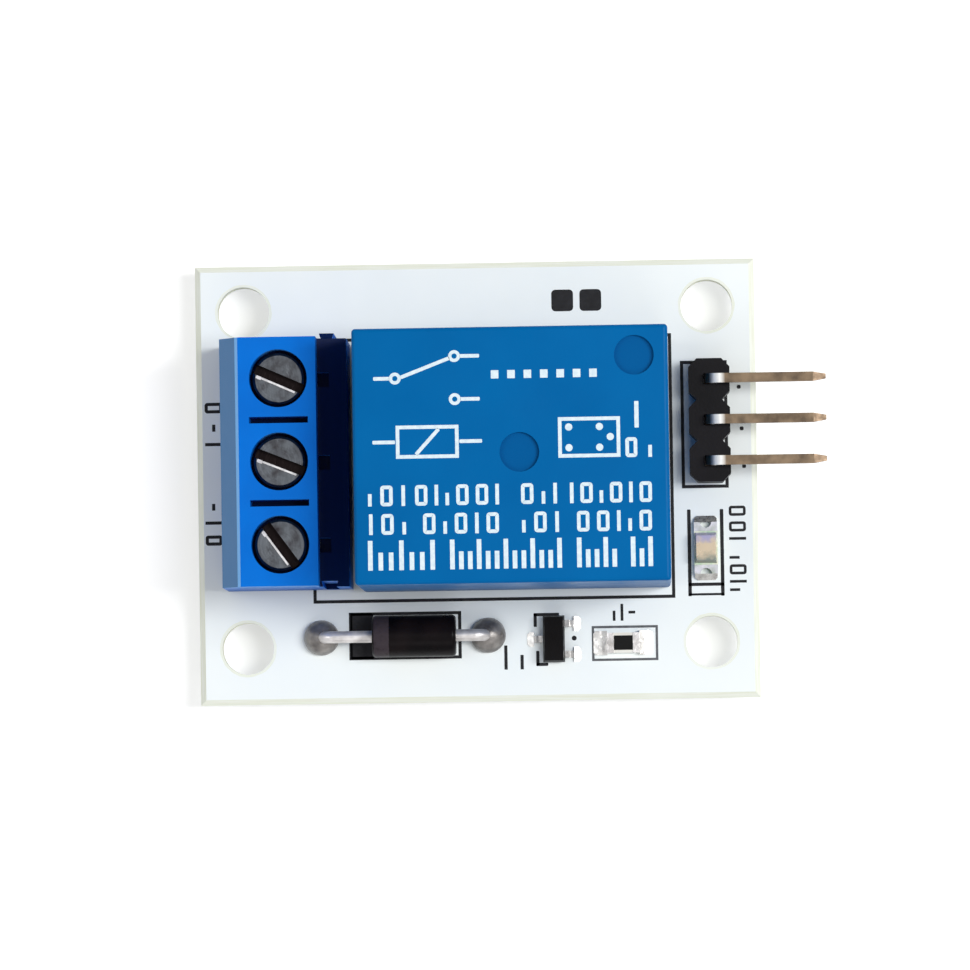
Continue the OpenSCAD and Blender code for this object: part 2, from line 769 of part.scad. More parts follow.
module header_body() {
    nick = header_pitch * 0.2;
    half = header_pitch / 2;
    bore = pin_side + 2 * seat_gap;
    color(BLACK) translate([header_x, 0, board_t]) difference() {
        for (i = [1 : 3]) translate([0, header_pin_y(i), 0]) linear_extrude(header_pitch)
            polygon([
                [-half, -half + nick], [-half + nick, -half - eps], [half - nick, -half - eps],
                [half, -half + nick], [half, half - nick], [half - nick, half + eps],
                [-half + nick, half + eps], [-half, half - nick],
            ]);
        for (i = [1 : 3]) translate([0, header_pin_y(i), 0])
            square_pin(bore, bore, -1, header_pitch + 1);
    }
}

// Square pin, bent over towards the board's edge above the body, with a tapered tip
module header_pin(i) {
    bend_r = 0.3;
    axis_z = board_t + pin_level;
    taper = 0.8;
    tip = 0.3;
    start = bend_r + pin_side / 2;
    level_l = pin_reach - start;
    color(PIN_GOLD) translate([header_x, header_pin_y(i), 0]) {
        square_pin(pin_side, pin_side, -pin_stub, axis_z - start);
        translate([start, 0, axis_z - start]) rotate([90, 0, 0]) rotate([0, 0, 90])
            rotate_extrude(angle = 90) translate([bend_r, -pin_side / 2])
            square([pin_side, pin_side]);
        intersection() {
            translate([start, -pin_side / 2, axis_z]) along_y(pin_side) polygon([
                [0, -pin_side / 2], [level_l - taper, -pin_side / 2], [level_l, -tip / 2],
                [level_l, tip / 2], [level_l - taper, pin_side / 2], [0, pin_side / 2],
            ]);
            translate([start, 0, axis_z - pin_side]) linear_extrude(2 * pin_side) polygon([
                [0, -pin_side / 2], [level_l - taper, -pin_side / 2], [level_l, -tip / 2],
                [level_l, tip / 2], [level_l - taper, pin_side / 2], [0, pin_side / 2],
            ]);
        }
    }
}

module header_solder() {
    color(SILVER) for (i = [1 : 3]) {
        translate([header_x, header_pin_y(i), 0]) pin_solder(header_drill)
            square_pin(pin_side, pin_side, -pin_stub - 1, board_t + 1);
    }
}

// Diode

module diode_body() {
    round_r = 0.25;
    color(BLACK) translate([diode_mid - diode_l / 2, diode_y, diode_z]) rotate([0, 90, 0])
        difference() {
            rotate_extrude() intersection() {
                translate([-diode_d / 2, 0]) round_rect(diode_d, diode_l, round_r);
                square([diode_d, diode_l]);
            }
            translate([0, 0, -1]) cylinder(d = diode_lead_d + 2 * seat_gap, h = 1 + lead_grip);
            translate([0, 0, diode_l - lead_grip])
                cylinder(d = diode_lead_d + 2 * seat_gap, h = 1 + lead_grip);
        }
}

// Lead from inside the body, bent down into the board. side is -1 at the band, +1 opposite.
module diode_lead(side) {
    hole = diode_hole_x[side < 0 ? 0 : 1];
    from = diode_mid + side * (diode_l / 2 - lead_grip + seat_gap);
    run = abs(hole - from) - bend_r;
    color(TIN) translate([hole, diode_y, 0]) mirror([side > 0 ? 1 : 0, 0, 0]) {
        translate([0, 0, -pin_stub]) cylinder(d = diode_lead_d, h = pin_stub + diode_z - bend_r);
        translate([bend_r, 0, diode_z - bend_r]) rotate([90, 0, 0]) rotate([0, 0, 90])
            rotate_extrude(angle = 90) translate([bend_r, 0]) circle(d = diode_lead_d);
        translate([bend_r, 0, diode_z]) rotate([0, 90, 0]) cylinder(d = diode_lead_d, h = run);
    }
}

// Joints of the diode: fillets below the board and round beads on top of it
module diode_solder() {
    bead_r = 1.1;
    bead_h = 1.25;
    color(SILVER) for (side = [-1, 1]) {
        hole = diode_hole_x[side < 0 ? 0 : 1];
        translate([hole, diode_y, 0]) pin_solder(diode_drill)
            translate([0, 0, -pin_stub - 1]) cylinder(d = diode_lead_d, h = pin_stub + board_t + 2);
        difference() {
            translate([hole, diode_y, board_t]) rotate_extrude() intersection() {
                translate([0, bead_h - bead_r]) circle(bead_r);
                square([bead_r, 2 * bead_h]);
            }
            diode_lead(side);
        }
    }
}

// Chip parts

// Wedge of solder that climbs from a pad to a terminal, high side at the origin, along +X
module pad_fillet(l, w, h) {
    steps = 4;
    low = 0.06;
    intersection() {
        translate([0, -w / 2, 0]) along_y(w) polygon(concat(
            [[0, 0]], [[0, h]],
            [for (i = [1 : steps]) let (a = 90 * i / steps)
                [l * sin(a), h - (h - low) * (1 - pow(1 - i / steps, 2))]],
            [[l, 0]]
        ));
        linear_extrude(h) polygon([
            [0, -w / 2], [l - 0.15, -w / 2], [l, -w / 2 + 0.15],
            [l, w / 2 - 0.15], [l - 0.15, w / 2], [0, w / 2],
        ]);
    }
}

pad_out = 0.4;
pad_w = 1.5;
lamp_pad_w = 1.4;
resistor_pad_out = 0.85;
lead_pad_w = 0.9;
lead_pad_t = 0.2;
lead_w = 0.42;
lead_t = 0.14;
lead_out = 0.55;
lead_foot = 0.4;
lead_step = 0.95;
standoff = 0.08;
lead_exit = transistor_h * 0.45;
film_t = 0.03;
cap_t = 0.05;
cap_l = 0.4;
lens_l = 1.9;
lens_w = lamp_w - 0.1;
lens_slope = 0.2;
chip_side = 0.3;
chip_t = 0.15;

module transistor_body() {
    color(BLACK) translate(transistor_pos) translate([0, 0, standoff])
        drafted_block(transistor_w, transistor_l, transistor_h, 0.1);
}

// Gull-wing lead from the side of the body to the board. side is -1 or +1 in X.
module transistor_lead(side, y) {
    color(TIN) translate(transistor_pos) translate([0, y, 0]) mirror([side < 0 ? 1 : 0, 0, 0])
        translate([transistor_w / 2 + eps, -lead_w / 2, 0]) along_y(lead_w) polygon([
            [0, standoff + lead_exit - lead_t / 2],
            [lead_out - lead_foot, standoff + lead_exit - lead_t / 2],
            [lead_out - lead_foot + 0.06, 0.02], [lead_out, 0.02], [lead_out, 0.02 + lead_t],
            [lead_out - lead_foot + 0.18, 0.02 + lead_t],
            [lead_out - lead_foot + 0.12, standoff + lead_exit + lead_t / 2],
            [0, standoff + lead_exit + lead_t / 2],
        ]);
}

module transistor_solder() {
    foot_end = transistor_w / 2 + lead_out + 0.03;
    color(SILVER) translate(transistor_pos)
        for (foot = [[-1, 0], [1, lead_step], [1, -lead_step]]) {
            translate([0, foot[1], 0]) mirror([foot[0] < 0 ? 1 : 0, 0, 0])
                translate([foot_end, 0, 0]) pad_fillet(pad_out, lead_pad_w, lead_pad_t);
        }
}

module resistor_body() {
    color(CREAM) translate(resistor_pos) translate([-resistor_l / 2 + cap_t, -resistor_w / 2, cap_t])
        cube([resistor_l - 2 * cap_t, resistor_w, resistor_h - 2 * cap_t]);
}

module resistor_film() {
    film_l = resistor_l - 2 * cap_l - 0.04;
    film_w = resistor_w * 0.72;
    color(BLACK) translate(resistor_pos)
        translate([-film_l / 2, -film_w / 2, resistor_h - cap_t]) cube([film_l, film_w, film_t]);
}

// Two end caps, each folded over the top, the end and the bottom of the body
module resistor_caps() {
    color(TIN) translate(resistor_pos) for (side = [0, 1]) mirror([side, 0, 0])
        translate([-resistor_l / 2, -resistor_w / 2, 0]) along_y(resistor_w) polygon([
            [0, 0], [cap_l, 0], [cap_l, cap_t], [cap_t, cap_t],
            [cap_t, resistor_h - cap_t], [cap_l, resistor_h - cap_t], [cap_l, resistor_h],
            [0, resistor_h],
        ]);
}

module resistor_solder() {
    color(SILVER) translate(resistor_pos) for (side = [0, 1]) mirror([side, 0, 0])
        translate([resistor_l / 2, 0, 0]) pad_fillet(resistor_pad_out, pad_w, resistor_h * 0.9);
}

// Lamp base with the half-round notches that the plated ends follow
module lamp_base() {
    color(CREAM) translate(lamp_pos) difference() {
        translate([-lamp_w / 2, -lamp_l / 2 + cap_t, cap_t])
            cube([lamp_w, lamp_l - 2 * cap_t, lamp_base_t - 2 * cap_t]);
        for (y = [-1, 1]) translate([0, y * lamp_l / 2, -1]) cylinder(d = 0.8, h = 3);
    }
}

module lamp_terminals() {
    color(TIN) translate(lamp_pos) for (side = [0, 1]) mirror([0, side, 0]) difference() {
        translate([-lamp_w / 2, lamp_l / 2, 0]) along_x(lamp_w) polygon([
            [0, 0], [-0.5, 0], [-0.5, cap_t], [-cap_t, cap_t],
            [-cap_t, lamp_base_t - cap_t], [-0.55, lamp_base_t - cap_t], [-0.55, lamp_base_t],
            [0, lamp_base_t],
        ]);
        translate([0, lamp_l / 2, -1]) cylinder(d = 0.7, h = 3);
    }
}

module lamp_chip() {
    color(SILVER) translate(lamp_pos) translate([0, 0, lamp_base_t - cap_t + chip_t / 2])
        cube([chip_side, chip_side, chip_t], center = true);
}

// Clear moulded lens, hollow only where the light chip sits
module lamp_lens() {
    color([0.95, 0.95, 0.85, 0.6]) translate(lamp_pos) difference() {
        translate([0, 0, lamp_base_t - cap_t]) intersection() {
            translate([-lens_w / 2, 0, 0]) along_x(lens_w) polygon([
                [-lens_l / 2, 0], [lens_l / 2, 0],
                [lens_l / 2 - lens_slope, lens_h], [-lens_l / 2 + lens_slope, lens_h],
            ]);
            translate([0, -lens_l / 2, 0]) along_y(lens_l) polygon([
                [-lens_w / 2, 0], [lens_w / 2, 0], [lens_w / 2 - 0.08, lens_h],
                [-lens_w / 2 + 0.08, lens_h],
            ]);
        }
        translate([0, 0, lamp_base_t - cap_t + chip_t / 2])
            cube([chip_side, chip_side, chip_t + eps], center = true);
    }
}

module lamp_solder() {
    color(SILVER) translate(lamp_pos) for (turn = [90, -90]) rotate(turn)
        translate([lamp_l / 2, 0, 0]) pad_fillet(pad_out, lamp_pad_w, lamp_base_t * 0.8);
}

circuit_board();
terminal_housing();
clamp_screw(1);  // clamp_screw_1
clamp_screw(2);  // clamp_screw_2
clamp_screw(3);  // clamp_screw_3
clamp_cage(1);  // clamp_cage_1
clamp_cage(2);  // clamp_cage_2
clamp_cage(3);  // clamp_cage_3
terminal_contact(1);  // terminal_contact_1
terminal_contact(2);  // terminal_contact_2
terminal_contact(3);  // terminal_contact_3
relay_cover();
relay_base();
relay_yoke();
relay_core();
relay_bobbin();
relay_coil();
relay_armature();
relay_leaf_spring();
relay_moving_contact();
relay_common_pin();
relay_coil_pin(1);  // relay_coil_pin_1
relay_coil_pin(-1);  // relay_coil_pin_2
relay_open_contact();
relay_closed_contact();
header_body();
header_pin(1);  // header_pin_1
header_pin(2);  // header_pin_2
header_pin(3);  // header_pin_3
diode_body();
diode_lead(-1);  // diode_lead_1
diode_lead(1);  // diode_lead_2
transistor_body();
transistor_lead(-1, 0);  // transistor_lead_1
transistor_lead(1, lead_step);  // transistor_lead_2
transistor_lead(1, -lead_step);  // transistor_lead_3
resistor_body();
resistor_film();
resistor_caps();
lamp_base();
lamp_terminals();
lamp_chip();
lamp_lens();
block_solder();
relay_solder();
header_solder();
diode_solder();
transistor_solder();
resistor_solder();
lamp_solder();
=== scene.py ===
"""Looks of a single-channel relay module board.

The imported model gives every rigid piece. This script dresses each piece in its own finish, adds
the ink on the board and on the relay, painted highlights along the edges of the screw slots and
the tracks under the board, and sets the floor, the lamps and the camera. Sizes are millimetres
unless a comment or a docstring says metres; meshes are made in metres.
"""

import logging
import math
from dataclasses import dataclass, field
from enum import Enum
from typing import Iterable, Sequence

import bpy
from mathutils import Matrix, Vector


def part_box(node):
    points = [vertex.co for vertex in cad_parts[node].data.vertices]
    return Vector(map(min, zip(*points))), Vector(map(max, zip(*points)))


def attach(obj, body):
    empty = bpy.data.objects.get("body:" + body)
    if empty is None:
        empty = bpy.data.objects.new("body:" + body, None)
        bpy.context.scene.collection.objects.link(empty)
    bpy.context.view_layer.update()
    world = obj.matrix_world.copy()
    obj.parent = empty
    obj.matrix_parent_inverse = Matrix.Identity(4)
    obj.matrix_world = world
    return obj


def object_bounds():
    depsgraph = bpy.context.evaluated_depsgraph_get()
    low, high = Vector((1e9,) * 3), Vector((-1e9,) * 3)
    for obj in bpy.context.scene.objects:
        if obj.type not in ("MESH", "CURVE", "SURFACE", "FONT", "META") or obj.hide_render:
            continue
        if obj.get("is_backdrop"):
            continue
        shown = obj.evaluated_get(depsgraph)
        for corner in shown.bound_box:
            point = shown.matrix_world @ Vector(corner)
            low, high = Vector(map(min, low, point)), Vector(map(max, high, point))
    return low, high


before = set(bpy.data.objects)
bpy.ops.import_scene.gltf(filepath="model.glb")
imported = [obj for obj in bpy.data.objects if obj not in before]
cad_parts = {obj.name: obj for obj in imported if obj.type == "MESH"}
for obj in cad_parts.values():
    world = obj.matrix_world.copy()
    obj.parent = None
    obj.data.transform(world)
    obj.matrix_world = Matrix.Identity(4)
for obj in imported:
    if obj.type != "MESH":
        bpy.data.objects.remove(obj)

LOG = logging.getLogger("relay_board")
MM = 0.001
Colour = tuple[float, float, float]
Point = tuple[float, float]
Box = tuple[float, float, float, float]
Socket = bpy.types.NodeSocket
Piece = bpy.types.Object
WAYS = (1, 2, 3)  # numbers of the poles, of the header's pins and of the transistor's leads
PATCHES = (0.35, 0.7)  # noise levels between which a finish changes to its second colour


def shade(red: int, green: int, blue: int) -> Colour:
    """Returns the linear colour of three display values from 0 to 255."""
    shares = (value / 255 for value in (red, green, blue))
    return tuple(v / 12.92 if v <= 0.04045 else ((v + 0.055) / 1.055) ** 2.4 for v in shares)


class NodeSheet:
    """The node tree of a material or a world, with a short method for each node in use."""

    def __init__(self, owner: bpy.types.Material | bpy.types.World) -> None:
        """Turns the owner's nodes on and finds its shader.

        Args:
            owner: A new material or world.
        """
        owner.use_nodes = True
        self.tree = owner.node_tree
        nodes = self.tree.nodes
        self.shader = nodes.get("Principled BSDF") or nodes["Background"]
        self.place = nodes.new("ShaderNodeTexCoord").outputs["Object"]

    def add(self, kind: str, inputs: dict | None = None, **settings: object) -> bpy.types.Node:
        """Adds a node.

        Args:
            kind: Type name of the node.
            inputs: Values or sockets for its inputs, by name or number.
            **settings: Properties of the node.

        Returns:
            The new node.
        """
        node = self.tree.nodes.new(kind)
        for key, value in settings.items():
            setattr(node, key, value)
        for key, value in (inputs or {}).items():
            self.feed(node.inputs[key], value)
        return node

    def feed(self, socket: Socket, value: object) -> None:
        """Links a socket to an output, or sets its value."""
        if isinstance(value, Socket):
            self.tree.links.new(value, socket)
        elif socket.type == "RGBA":
            socket.default_value = (*value, 1.0)
        else:
            socket.default_value = value

    def math(self, operation: str, first: object, second: object = 0.0) -> Socket:
        """Returns the result of a Math node."""
        return self.add("ShaderNodeMath", {0: first, 1: second}, operation=operation).outputs[0]

    def noise(self, size_mm: float, detail: float = 2.0,
              stretch: tuple[float, float, float] = (1, 1, 1)) -> Socket:
        """Returns a noise value whose features are about one size.

        Args:
            size_mm: Size of a feature.
            detail: Octaves of finer noise.
            stretch: Factors on X, Y and Z of the coordinates.
        """
        place = self.place
        if stretch != (1, 1, 1):
            place = self.add("ShaderNodeMapping", {"Vector": place, "Scale": stretch}).outputs[0]
        return self.add("ShaderNodeTexNoise", {
            "Vector": place, "Scale": 1.0 / (size_mm * MM), "Detail": detail}).outputs[0]

    def ramp(self, value: Socket, low: float, high: float, start: float | Socket = 0.0,
             end: float = 1.0) -> Socket:
        """Returns a value mapped from one range to another and held inside it."""
        return self.add("ShaderNodeMapRange", {"Value": value, "From Min": low, "From Max": high,
                                               "To Min": start, "To Max": end}).outputs[0]

    def blend(self, share: object, first: object, second: object) -> Socket:
        """Returns a mix of two colours."""
        node = self.add("ShaderNodeMix", data_type="RGBA")
        for key, value in (("Factor_Float", share), ("A_Color", first), ("B_Color", second)):
            self.feed(next(s for s in node.inputs if s.identifier == key), value)
        return next(s for s in node.outputs if s.identifier == "Result_Color")

    def axis(self, letter: str) -> Socket:
        """Returns one coordinate of the shaded point, in metres."""
        return self.add("ShaderNodeSeparateXYZ", {0: self.place}).outputs[letter]

    def normal(self, letter: str) -> Socket:
        """Returns one part of the surface's normal."""
        normal = self.add("ShaderNodeNewGeometry").outputs["Normal"]
        return self.add("ShaderNodeSeparateXYZ", {0: normal}).outputs[letter]

    def facing(self, letter: str) -> Socket:
        """Returns one part of the surface's normal, without its sign."""
        return self.math("ABSOLUTE", self.normal(letter))

    def near(self, letter: str, place_mm: float, reach_mm: float) -> Socket:
        """Returns 1 at a place along an axis, and less down to 0 at a distance from it."""
        away = self.math("ABSOLUTE", self.math("SUBTRACT", self.axis(letter), place_mm * MM))
        return self.ramp(away, 0.35 * reach_mm * MM, reach_mm * MM, 1.0, 0.0)

    def bump(self, height: Socket, depth_mm: float, under: Socket | None = None) -> Socket:
        """Returns a bumped normal.

        Args:
            height: Height from 0 to 1.
            depth_mm: Depth of the bumps.
            under: Normal from another bump, if there is one.
        """
        inputs = {"Height": height, "Distance": depth_mm * MM, "Strength": 1.0}
        if under is not None:
            inputs["Normal"] = under
        return self.add("ShaderNodeBump", inputs).outputs[0]

    def set(self, **values: object) -> None:
        """Sets or links inputs of the shader, with underscores for spaces."""
        for key, value in values.items():
            self.feed(self.shader.inputs[key.replace("_", " ")], value)


@dataclass(frozen=True)
class Finish:
    """A plain finish: a colour that wanders a little, over a fine surface grain.

    Attributes:
        name: Name of the material.
        colour: Main colour.
        drift: Second colour that noise brings in.
        roughness: Mean roughness.
        spread: How far the roughness wanders.
        grain_mm: Size of the surface grain.
        grain_depth: Depth of the grain in millimetres.
        metal: 1 for bare metal.
        specular: Specular level of the shader.
        cloud_mm: Size of the patches of the second colour.
    """

    name: str
    colour: Colour
    drift: Colour
    roughness: float = 0.4
    spread: float = 0.06
    grain_mm: float = 0.12
    grain_depth: float = 0.004
    metal: float = 0.0
    specular: float = 0.5
    cloud_mm: float = 3.0

    def material(self) -> bpy.types.Material:
        """Returns a new material with this finish."""
        material = bpy.data.materials.new(self.name)
        sheet = NodeSheet(material)
        fine = sheet.noise(self.grain_mm, 3.0)
        rough = sheet.ramp(sheet.noise(self.cloud_mm * 0.4, 5.0), 0.3, 0.7,
                           self.roughness - self.spread, self.roughness + self.spread)
        sheet.set(Base_Color=self.patches(sheet), Roughness=rough, Metallic=self.metal,
                  Specular_IOR_Level=self.specular, Normal=sheet.bump(fine, self.grain_depth))
        self.detail(sheet)
        return material

    def patches(self, sheet: NodeSheet, size_mm: float = 0.0) -> Socket:
        """Returns the main colour, with patches of the second one."""
        cloud = sheet.ramp(sheet.noise(size_mm or self.cloud_mm, 4.0), *PATCHES)
        return sheet.blend(cloud, self.colour, self.drift)

    def detail(self, sheet: NodeSheet) -> None:
        """Adds what only this finish has. The plain finish adds nothing."""


@dataclass(frozen=True)
class SolderMask(Finish):
    """White mask on the faces of the board, with the yellowish laminate bare on its edges.

    Attributes:
        laminate: Colour of the bare resin.
        fibre: Colour of the layers of glass in it.
        hole_at: Distance of each mounting hole from the middle, along X and along Y.
        ring_r: Radius of the chipped ring round a hole, or 0 for none.
        ragged_mm: How far the ring's edge wanders.
        chipped: How much of the laminate shows in the ring.
    """

    laminate: Colour = shade(238, 240, 224)
    fibre: Colour = shade(226, 228, 200)
    hole_at: Point = (14.4, 10.45)
    ring_r: float = 1.76
    ragged_mm: float = 0.12
    chipped: float = 0.55

    def detail(self, sheet: NodeSheet) -> None:
        """Puts the laminate and its glass layers on every upright or sloping face."""
        mask = sheet.blend(sheet.ramp(sheet.noise(6.0, 3.0), 0.3, 0.75), self.colour, self.drift)
        layers = sheet.noise(0.5, 2.0, (0.15, 0.15, 4.0))
        edge = sheet.blend(sheet.ramp(layers, 0.35, 0.65), self.laminate, self.fibre)
        upright = sheet.ramp(sheet.facing("Z"), 0.55, 0.95, 1.0, 0.0)
        bare = sheet.math("MULTIPLY", self.ring(sheet), self.chipped)
        sheet.set(Base_Color=sheet.blend(sheet.math("MAXIMUM", upright, bare), mask, edge))

    def ring(self, sheet: NodeSheet) -> Socket:
        """Returns 1 close to a mounting hole, where the drill has lifted the mask."""
        away = []
        for letter, place in zip("XY", self.hole_at):
            side = sheet.math("SUBTRACT", sheet.math("ABSOLUTE", sheet.axis(letter)), place * MM)
            away.append(sheet.math("POWER", side, 2.0))
        reach = sheet.math("SQRT", sheet.math("ADD", *away))
        ragged = sheet.math("MULTIPLY", sheet.noise(0.6, 3.0), self.ragged_mm * MM)
        return sheet.math("LESS_THAN", sheet.math("ADD", reach, ragged),
                          (self.ring_r + self.ragged_mm / 2) * MM)


@dataclass(frozen=True)
class Moulding(Finish):
    """Coloured plastic, with painted shade that makes it a little darker low down.

    Attributes:
        foot_shade: Colour of the painted shade at the foot of the moulding.
        low_mm: Height up to which the painted shade is full.
        high_mm: Height from which the main colour is full.
        recess_shade_top_mm: Height of the top face, under which recesses get painted shade, or 0.
        recess_shade_reach: Depths under that face at which the painted shade is full, and not yet.
        recess_shade_share: How strong the painted shade in a recess is.
    """

    # Colour of the painted shade at the foot, also used in recesses of the top face.
    foot_shade: Colour = (0.0, 0.0, 0.0)
    low_mm: float = 0.0
    high_mm: float = 1.0
    # Painted shade in recesses of the top face: height of that face, depths and strength.
    recess_shade_top_mm: float = 0.0
    recess_shade_reach: Point = (0.25, 0.02)
    recess_shade_share: float = 0.7

    def detail(self, sheet: NodeSheet) -> None:
        """Paints shade towards the foot, and in recesses of the top face."""
        sheet.set(Base_Color=self.tone(sheet))

    def tone(self, sheet: NodeSheet) -> Socket:
        """Returns the colour over the height of the moulding, with its painted shade."""
        height = sheet.axis("Z")
        # Painted shade: darker towards the foot.
        low = sheet.ramp(height, self.low_mm * MM, self.high_mm * MM, 1.0, 0.0)
        # Painted shade on up-facing faces in recesses just under the top face.
        if self.recess_shade_top_mm:
            floor, edge = ((self.recess_shade_top_mm - depth) * MM for depth in self.recess_shade_reach)
            recess_shade = sheet.ramp(height, floor, edge, self.recess_shade_share, 0.0)
            low = sheet.math("MAXIMUM", low, sheet.math("MULTIPLY", recess_shade, sheet.facing("Z")))
        return sheet.blend(low, self.patches(sheet), self.foot_shade)


@dataclass(frozen=True)
class BlockMoulding(Moulding):
    """Block plastic, with a painted sheen on the brow, a painted highlight on the near end and
    painted shade on the ledge, the grooves and the wells.

    Attributes:
        brow_mm: Height from which sloping faces get the painted sheen.
        end_mm: Height over which the painted highlight on the near end grows.
        low_shade_mm: Height below which the ledge, the grooves and the wells get painted shade.
        brow_sheen: Colour of the painted sheen on the brow.
        end: Colour of the painted highlight on the near end.
        low_shade: Colour of the painted shade on the ledge, the grooves and the wells.
    """

    brow_mm: float = 0.0
    end_mm: float = 2.0
    low_shade_mm: float = 11.3
    # Painted sheen on the brow, painted highlight on the near end, painted shade low down.
    brow_sheen: Colour = shade(128, 190, 250)
    end: Colour = shade(70, 146, 222)
    low_shade: Colour = shade(0, 26, 74)

    def detail(self, sheet: NodeSheet) -> None:
        """Paints a sheen on the brow, a highlight on the near end and shade low down."""
        height, upward = sheet.axis("Z"), sheet.normal("Z")
        high = sheet.math("GREATER_THAN", height, self.brow_mm * MM)
        # Painted sheen on the slopes of the brow.
        brow = sheet.math("MULTIPLY", sheet.ramp(sheet.normal("X"), -0.2, -0.32),
                          sheet.math("MULTIPLY", high, sheet.ramp(upward, 0.2, 0.35)))
        # Painted highlight on the near end, which faces -Y.
        end = sheet.math("MULTIPLY", sheet.ramp(sheet.normal("Y"), -0.7, -0.9),
                         sheet.ramp(height, self.brow_mm * MM, (self.brow_mm + self.end_mm) * MM))
        # Painted shade on up-facing faces low down: the ledge, the grooves and the wells.
        low = sheet.math("MULTIPLY", sheet.math("LESS_THAN", height, self.low_shade_mm * MM),
                         sheet.ramp(upward, 0.3, 0.7))
        colour = sheet.blend(brow, self.tone(sheet), self.brow_sheen)
        colour = sheet.blend(end, colour, self.end)
        sheet.set(Base_Color=sheet.blend(low, colour, self.low_shade))


@dataclass(frozen=True)
class TurnedSteel(Finish):
    """Turned screw head: rings round the axis, stains, and painted shade on the floor of the slot.

    Attributes:
        axis_x: Place of the screw's axis along X.
        axis_y: Place of the screw's axis along Y.
        top_z: Height of the head.
        slot_shade_reach: Depths under the head at which the painted shade is full, and not yet.
        stain: Colour of the stains.
        slot: Colour of the painted shade on the slot's floor.
    """

    axis_x: float = 0.0
    axis_y: float = 0.0
    top_z: float = 10.0
    # Depths of the painted shade in the slot.
    slot_shade_reach: Point = (0.65, 0.25)
    stain: Colour = shade(44, 38, 40)
    # Colour of the painted shade on the slot's floor.
    slot: Colour = shade(30, 25, 25)

    def detail(self, sheet: NodeSheet) -> None:
        """Adds turning rings and stains, and paints shade on the floor of the slot."""
        centre = (-self.axis_x * MM, -self.axis_y * MM, 0.0)
        moved = sheet.add("ShaderNodeMapping", {"Vector": sheet.place, "Location": centre})
        parts = sheet.add("ShaderNodeSeparateXYZ", {0: moved.outputs[0]})
        radius = sheet.math("SQRT", sheet.math(
            "ADD", sheet.math("POWER", parts.outputs["X"], 2.0),
            sheet.math("POWER", parts.outputs["Y"], 2.0)))
        rings = sheet.add("ShaderNodeTexNoise", {
            "Vector": sheet.add("ShaderNodeCombineXYZ", {"X": radius}).outputs[0],
            "Scale": 9000.0, "Detail": 3.0}).outputs[0]
        scratch = sheet.noise(0.35, 4.0, (1.0, 0.25, 1.0))
        stained = sheet.ramp(sheet.noise(0.9, 4.0), 0.42, 0.72, 0.0, 0.85)
        colour = sheet.blend(stained, self.colour, self.stain)
        # Painted shade on the floor of the slot.
        low, high = ((self.top_z - depth) * MM for depth in self.slot_shade_reach)
        floor = sheet.ramp(sheet.axis("Z"), low, high, 1.0, 0.0)
        colour = sheet.blend(floor, colour, self.slot)
        under = sheet.bump(rings, 0.012)
        sheet.set(Base_Color=colour, Normal=sheet.bump(scratch, 0.02, under))


@dataclass(frozen=True)
class BandedEpoxy(Finish):
    """Black moulded epoxy with one printed band round it, between two places along X.

    Attributes:
        band: Colour of the band.
        band_from: Place of the band's left edge.
        band_to: Place of the band's right edge.
        ragged_mm: How far the edges wander.
        patch_mm: Size of the patches of the second colour.
    """

    band: Colour = shade(60, 53, 58)
    band_from: float = 0.0
    band_to: float = 1.0
    ragged_mm: float = 0.08
    patch_mm: float = 2.0

    def detail(self, sheet: NodeSheet) -> None:
        """Prints the band, with a little wear."""
        ragged = sheet.math("MULTIPLY", sheet.noise(0.25, 3.0), self.ragged_mm * MM)
        along = sheet.math("ADD", sheet.axis("X"), ragged)
        inside = sheet.math("MULTIPLY", sheet.math("GREATER_THAN", along, self.band_from * MM),
                            sheet.math("LESS_THAN", along, self.band_to * MM))
        wear = sheet.ramp(sheet.noise(0.3, 4.0), 0.2, 0.5, 0.6, 1.0)
        sheet.set(Base_Color=sheet.blend(sheet.math("MULTIPLY", inside, wear),
                                         self.patches(sheet, self.patch_mm), self.band))


@dataclass(frozen=True)
class PinPlating(Finish):
    """Dull plating with a painted highlight on a bend, and bare on the cut tips.

    Attributes:
        bend_x: Place of the bends along X.
        bend_mm: Distance from there within which the painted highlight reaches.
        tip_x: Place along X from which the tips are bare.
        bend_highlight: Colour of the painted highlight on the bends.
        bare: Colour of the tips.
    """

    bend_x: float = 0.0
    bend_mm: float = 0.5
    tip_x: float = 1.0
    # Colour of the painted highlight on the bends.
    bend_highlight: Colour = shade(238, 236, 230)
    bare: Colour = shade(96, 82, 68)

    def detail(self, sheet: NodeSheet) -> None:
        """Paints a highlight on the bends and dulls the tips."""
        bend = sheet.near("X", self.bend_x, self.bend_mm)
        tip = sheet.math("GREATER_THAN", sheet.axis("X"), self.tip_x * MM)
        # Painted highlight on the bends, with less metal there below.
        body = sheet.blend(bend, self.patches(sheet), self.bend_highlight)
        sheet.set(Base_Color=sheet.blend(tip, body, self.bare),
                  Metallic=sheet.ramp(bend, 0.0, 1.0, self.metal, 0.35))


